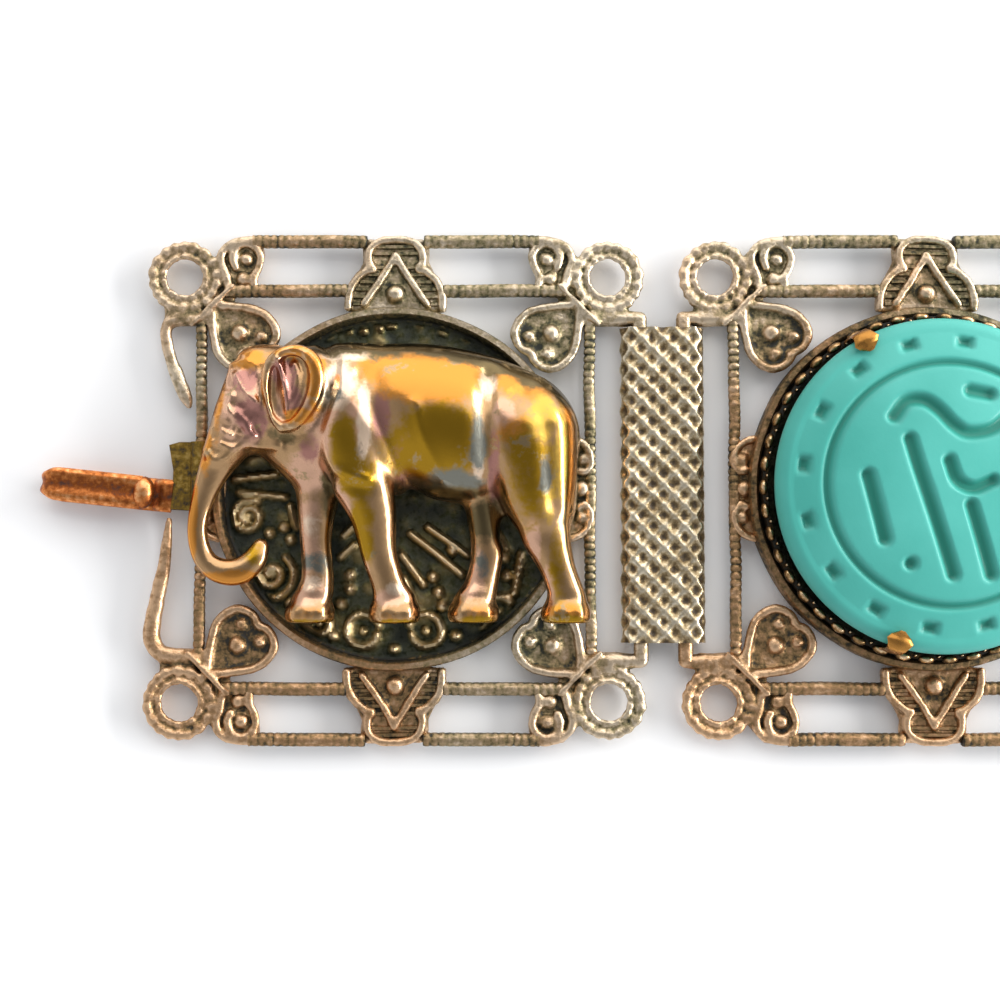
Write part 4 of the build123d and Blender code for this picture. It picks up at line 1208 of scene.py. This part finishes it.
def cut_share(x, y):
    """How deep the seal is cut at a point, from 0 to 1."""
    edge = np.abs(np.hypot(x, y) - SEAL_RING_RADIUS) - SEAL_RING_WIDTH / 2
    for stroke in SEAL_STROKES:
        path = np.array(stroke) * SEAL_RING_RADIUS
        if len(path) > 2:
            path = smooth_path(path, 6)
        edge = np.minimum(edge, distance_to_path(x, y, path) - GLYPH_WIDTH / 2)
    for dot in SEAL_DOTS:
        dot_x, dot_y = np.array(dot) * SEAL_RING_RADIUS
        edge = np.minimum(edge, np.hypot(x - dot_x, y - dot_y) - GLYPH_WIDTH / 2)
    for number in range(DASH_COUNT):
        turn = radians(DASH_TURN + 360 * number / DASH_COUNT)
        out = np.abs(x * cos(turn) + y * sin(turn) - DASH_REACH) - DASH_WIDTH / 2 + DASH_CORNER
        along = np.abs(-x * sin(turn) + y * cos(turn)) - DASH_LENGTH / 2 + DASH_CORNER
        outside = np.hypot(np.maximum(out, 0), np.maximum(along, 0))
        inside = np.minimum(np.maximum(out, along), 0)
        edge = np.minimum(edge, outside + inside - DASH_CORNER)
    share = np.clip((CUT_EASE - edge) / CUT_SLOPE, 0, 1)
    return share * share * (3 - 2 * share)


def seal_stone():
    """The turned stone with its face cut, as rings from the middle of the face round to its underside."""
    shoulder = STONE_RADIUS - STONE_EDGE
    rise = STONE_TOP - STONE_WALL_TOP - STONE_EDGE
    crown = (shoulder ** 2 + rise ** 2) / (2 * rise)
    rings = []
    for radius in np.linspace(0.06, shoulder, FACE_RINGS):
        rings.append((radius, STONE_TOP - crown + np.sqrt(crown ** 2 - radius ** 2), 1.0))
    for turn in np.linspace(80, 0, 7):
        angle = radians(turn)
        rings.append((shoulder + STONE_EDGE * cos(angle), STONE_WALL_TOP + STONE_EDGE * sin(angle), 0.0))
    for inset, z in ((0.1, 3.4), (0.35, 2.9), (0.5, 2.2), (0.5, STONE_BASE)):
        rings.append((STONE_RADIUS - inset, z, 0.0))
    rings = np.array(rings)
    # Painted shade on the wall below the stone's rounded edge, down in the bezel
    unshaded = np.clip((rings[:, 1] - 2.6) / 1.6, 0, 1)
    turn = 2 * pi * np.arange(FACE_SEGMENTS) / FACE_SEGMENTS
    x = np.outer(rings[:, 0], np.cos(turn))
    y = np.outer(rings[:, 0], np.sin(turn))
    share = cut_share(x, y) * rings[:, 2][:, None]
    z = rings[:, 1][:, None] - CUT_DEPTH * share
    points = np.stack([x, y, z], axis=2).reshape(-1, 3)
    faces = [face[::-1] for face in skin_faces(len(rings), FACE_SEGMENTS)]
    bag = Bag()
    bag.add(points, faces, np.repeat(unshaded, FACE_SEGMENTS))
    return bag, share.ravel()


# A tab's middle line as (radius, z), its width along that line, and half its section
TAB_PATH = [(11.2, STONE_BASE), (11.2, 2.6), (11.2, 4.3), (11.05, 5.0), (10.7, TAB_LIP_TOP - 0.12),
            (10.3, TAB_LIP_TOP - 0.14), (9.85, TAB_LIP_TOP - 0.18)]
TAB_WIDTHS = [(0, 1.0), (0.55, 1.3), (0.75, 1.75), (0.88, 1.3), (1, 0.35)]
TAB_SECTION = [(-1, 0.0), (-0.8, 0.12), (0, 0.15), (0.8, 0.12), (1, 0.0), (0.8, -0.1), (0, -0.12),
               (-0.8, -0.1)]


def tab():
    """A metal tab that stands up from the bezel and is bent over the stone's edge to a blunt point."""
    path = smooth_path(TAB_PATH, 4)
    n = len(path)
    widths = np.interp(np.linspace(0, 1, n), *np.transpose(TAB_WIDTHS)) / 2
    points = []
    for spot, out, half in zip(path, right_of(path), widths):
        for side, push in TAB_SECTION:
            radius, z = spot + out * push
            points.append((radius, side * half, z))
    bag = Bag()
    bag.add(points, skin_faces(n, len(TAB_SECTION)), 0.75)
    return bag


def bezel():
    """A thin wall round the stone, its upper edge beaten into beads, with sharp points between them."""
    bag = Bag()
    outer = BEZEL_INNER + BEZEL_WALL
    top = STONE_BASE + BEZEL_HEIGHT
    profile = [(BEZEL_INNER, STONE_BASE), (outer, STONE_BASE), (outer, top - 0.45), (BEZEL_INNER, top - 0.45)]
    # The wall is near black, as painted shade in the gap round the stone
    lathe(bag, profile, 160, [0.0, 0.0, 0.1, 0.1])
    round_bead = bead((outer - 0.04, 0, top - 0.5), (0.29, 0.54, 0.42), 0.85, 14, 5)
    # The sharp points are pale, rubbed bright and painted as glints
    sharp_bead = bead((BEZEL_INNER + 0.06, 0, top - 0.5), (0.12, 0.13, 0.35), 1.25, 8, 3)
    for number in range(BEAD_COUNT):
        turn = 360 * number / BEAD_COUNT
        bag.add_bag(round_bead, turn=turn)
        bag.add_bag(sharp_bead, turn=turn + 180 / BEAD_COUNT)
    return bag


stone_bag, stone_cuts = seal_stone()
setting = bezel()
wall_count = setting.count
for angle in TAB_ANGLES:
    setting.add_bag(tab(), turn=angle)
copper = np.concatenate([np.zeros(wall_count), np.ones(setting.count - wall_count)])
for index in panels_with("seal"):
    number = index + 1
    finish_piece(f"seal_face_{number}", stone_bag, panel_centre(index), seal_glass, f"panel_{number}",
                 [f"seal_stone_{number}"], sharp=0, more={"cut": stone_cuts},
                 share=STONE_SHARE)
    finish_piece(f"toothed_bezel_{number}", setting, panel_centre(index), bezel_metal, f"panel_{number}",
                 [f"bezel_{number}"], more={"copper": copper})


# Sleeves

def sleeve():
    """A stamped strip folded into a flat tube, its edges meeting underneath."""
    half_flat = (SLEEVE_WIDTH - SLEEVE_THICKNESS) / 2
    radius = SLEEVE_THICKNESS / 2
    bend = [(radius * sin(radians(a)), radius * cos(radians(a))) for a in range(10, 180, 10)]
    path = [(SLEEVE_SEAM / 2, -radius), (half_flat, -radius)]
    path += [(half_flat + x, -z) for x, z in bend]
    path += [(half_flat, radius), (-half_flat, radius)]
    path += [(-half_flat - x, z) for x, z in bend]
    path += [(-half_flat, -radius), (-SLEEVE_SEAM / 2, -radius)]
    path, places = evenly(path, SLEEVE_STEP)
    outward = right_of(path)
    rows = int(SLEEVE_LENGTH / SLEEVE_STEP)
    length = np.linspace(-SLEEVE_LENGTH / 2, SLEEVE_LENGTH / 2, rows)
    across = (places - places[-1] / 2) / WAFFLE_PITCH
    along = length / WAFFLE_PITCH
    falling = np.cos(2 * pi * (along[:, None] + across[None, :]))
    rising = np.cos(2 * pi * (along[:, None] - across[None, :]))
    pattern = 0.6 * np.maximum(falling, rising) + 0.2 * (falling + rising)
    fade = np.clip(np.minimum(places, places[-1] - places) / 1.6, 0, 1)
    sunk = WAFFLE_DEPTH * (1 - pattern) * fade[None, :]
    outer = path[None, :, :] - outward[None, :, :] * sunk[:, :, None]
    n = len(path)
    points = np.stack([outer[:, :, 0], np.broadcast_to(length[:, None], (rows, n)), outer[:, :, 1]], axis=2)
    inner = path - outward * SLEEVE_WALL
    ends = [np.column_stack([inner[:, 0], np.full(n, y), inner[:, 1]]) for y in (length[0], length[-1])]
    faces = grid_faces(rows, n)
    first, last = rows * n, rows * n + n
    top = (rows - 1) * n
    for j in range(n - 1):
        faces.append((first + j + 1, last + j + 1, last + j, first + j))
        faces.append((j, j + 1, first + j + 1, first + j))
        faces.append((top + j + 1, top + j, last + j, last + j + 1))
    faces.append(tuple([i * n for i in range(rows)] + [last, first])[::-1])
    faces.append(tuple([i * n + n - 1 for i in range(rows)] + [last + n - 1, first + n - 1]))
    # Pits dark as patina and painted shade, peaks pale as wear and painted highlight; the ends' inner edges
    # dark as painted shade
    rubbed_and_shaded = np.concatenate([(0.44 + 0.56 * pattern * fade[None, :]).ravel(), np.full(2 * n, 0.2)])
    bag = Bag()
    bag.add(np.concatenate([points.reshape(-1, 3), *ends]) + (0, SLEEVE_SLIP, BAR_HEIGHT), faces, rubbed_and_shaded)
    return bag


sleeve_bag = sleeve()
for number in range(1, len(PANEL_DESIGNS)):
    finish_piece(f"folded_sleeve_{number}", sleeve_bag, panel_centre(number) - PANEL_PITCH / 2, sleeve_metal,
                 f"link_{number}", [f"sleeve_{number}"], sharp=50)


# Clasp

def strip_sweep(path, half_width, thickness, wear_and_shade):
    """A strip with rolled edges and a shallow channel, along a path of (x, z), its width along Y."""
    path, _ = evenly(path, 0.2)

    def half_thickness(share):
        beyond = max(0.0, (abs(share) - 0.62) / 0.38)
        return (thickness / 2) * np.sqrt(max(0.0, 1 - beyond ** 2))

    section = []
    for share in np.linspace(1, -1, 15):
        section.append((share * half_width, half_thickness(share) - 0.13 * np.exp(-(share / 0.42) ** 2)))
    section += [(-y, -half_thickness(y / half_width)) for y, _ in section[1:-1]]
    tip = path[:, 0].min()
    points = []
    rubbed_and_shaded = []
    for spot, down in zip(path, right_of(path)):
        beyond = np.clip(1 - (spot[0] - tip) / 1.1, 0, 1)
        narrow = np.sqrt(1 - 0.62 * beyond ** 2)
        for y, z in section:
            x, height = spot - down * z
            points.append((x, y * narrow, height))
            # Painted shade in the channel; the rolled edges rubbed brighter
            groove = np.exp(-(y / half_width / 0.4) ** 2)
            rubbed_and_shaded.append(wear_and_shade - 0.3 * groove + 0.15 * (1 - groove))
    bag = Bag()
    bag.add(points, skin_faces(len(path), len(section)), rubbed_and_shaded)
    return bag


def hook_tongue():
    """The doubled strip: out along the table, round the bend, and back above itself to a beaded end."""
    radius = (TONGUE_HIGH - TONGUE_LOW) / 2
    fold = TONGUE_TIP - TONGUE_ROOT + radius + TONGUE_THICKNESS / 2
    path = [(0.25, BAR_HEIGHT), (-0.5, BAR_HEIGHT), (-1.0, TONGUE_LOW), (fold, TONGUE_LOW)]
    for turn in range(-80, 90, 10):
        angle = radians(turn)
        path.append((fold - radius * cos(angle), TONGUE_LOW + radius + radius * sin(angle)))
    path += [(fold, TONGUE_HIGH), (-1.6, TONGUE_HIGH)]
    flat = strip_sweep(path, TONGUE_HALF_WIDTH, TONGUE_THICKNESS, 0.55)
    flat.add_bag(bead((-1.45, 0, TONGUE_HIGH - 0.05), (0.72, 1.08, 0.62), 0.9, 20, 8))
    placed = Bag()
    placed.add_bag(flat, turn=TONGUE_TURN, shift=(TONGUE_ROOT, -0.5, 0))
    return placed


def clasp_plate():
    """The dark plate folded round the side bar."""
    low_y, high_y = CLASP_SPAN
    inner, outer = CLASP_RADII
    rings = [(y, outer) for y in (low_y, low_y + 0.05, high_y - 0.05, high_y)]
    rings += [(high_y, inner), (low_y, inner)]
    points = []
    for y, radius in rings:
        for number in range(CLASP_SIDES):
            turn = 2 * pi * number / CLASP_SIDES
            points.append((radius * cos(turn) - SIDE_BAR_OFFSET, y, BAR_HEIGHT + radius * sin(turn)))
    bag = Bag()
    bag.add(points, grid_faces(len(rings), CLASP_SIDES, wrap_rows=True, wrap_columns=True), 0.45)
    slab(bag, CLASP_OUTLINE, 0.65, 1.15, 0.08, 0.35)
    return bag


for name, shape, metal, nodes in (("clasp_tongue", hook_tongue(), clasp_metal, ["clasp_hook"]),
                                  ("clasp_plate", clasp_plate(), plate_metal, [])):
    finish_piece(name, shape, panel_centre(0), metal, "hook", nodes)


# Stage, lights and view

floor_mesh = bpy.data.meshes.new("floor")
floor_corners = [(FLOOR_REACH * x, FLOOR_REACH * y, 0) for x, y in ((-1, -1), (1, -1), (1, 1), (-1, 1))]
floor_mesh.from_pydata(floor_corners, [], [(0, 1, 2, 3)])
floor_material, _, floor_inputs = new_material("floor")
floor_inputs["Base Color"].default_value = (0.97, 0.97, 0.97, 1)
floor_inputs["Roughness"].default_value = 0.8
floor_mesh.materials.append(floor_material)
floor = bpy.data.objects.new("floor", floor_mesh)
floor.location = (0, 0, -FLOOR_DROP)
bpy.context.scene.collection.objects.link(floor)

# A pale room, darker straight overhead
world = bpy.data.worlds.new("studio")
world.use_nodes = True
background = world.node_tree.nodes["Background"].inputs
background["Color"].default_value = (0.86, 0.88, 0.92, 1)
sky = Shading(world.node_tree)
upward = sky.node("SeparateXYZ", "Z", Vector=sky.node("TexCoord", "Generated"))
sky.feed(background["Strength"], sky.mapped(upward, 0.55, 0.98, HORIZON_GLOW, OVERHEAD_GLOW))
bpy.context.scene.world = world
bpy.context.scene.view_settings.view_transform = "Standard"

target = Vector([value * MM for value in LOOK_AT])


def area_light(name, place, width, height, power, colour):
    """A soft light at a place in metres from the target, facing it."""
    light = bpy.data.lights.new(name, "AREA")
    light.shape = "RECTANGLE"
    light.size = width
    light.size_y = height
    light.energy = power
    light.color = colour
    lamp = bpy.data.objects.new(name, light)
    lamp.location = target + Vector(place)
    lamp.rotation_euler = (-Vector(place)).to_track_quat("-Z", "Y").to_euler()
    bpy.context.scene.collection.objects.link(lamp)


area_light("window", (0.15, 0.62, 0.42), 1.50, 1.00, 6.2, (1.0, 0.98, 0.95))
area_light("side_panel", (0.45, 0.05, 0.17), 0.55, 0.12, 3.1, (1.0, 1.0, 1.0))

tilt = radians(CAMERA_TILT)
camera_data = bpy.data.cameras.new("camera")
camera_data.sensor_width = 36.0
camera_data.angle = radians(CAMERA_ANGLE)
camera_data.clip_start = 0.005
camera = bpy.data.objects.new("camera", camera_data)
camera.location = target + CAMERA_DISTANCE * Vector((0, -sin(tilt), cos(tilt)))
camera.rotation_euler = (tilt, 0, 0)
bpy.context.scene.collection.objects.link(camera)
bpy.context.scene.camera = camera
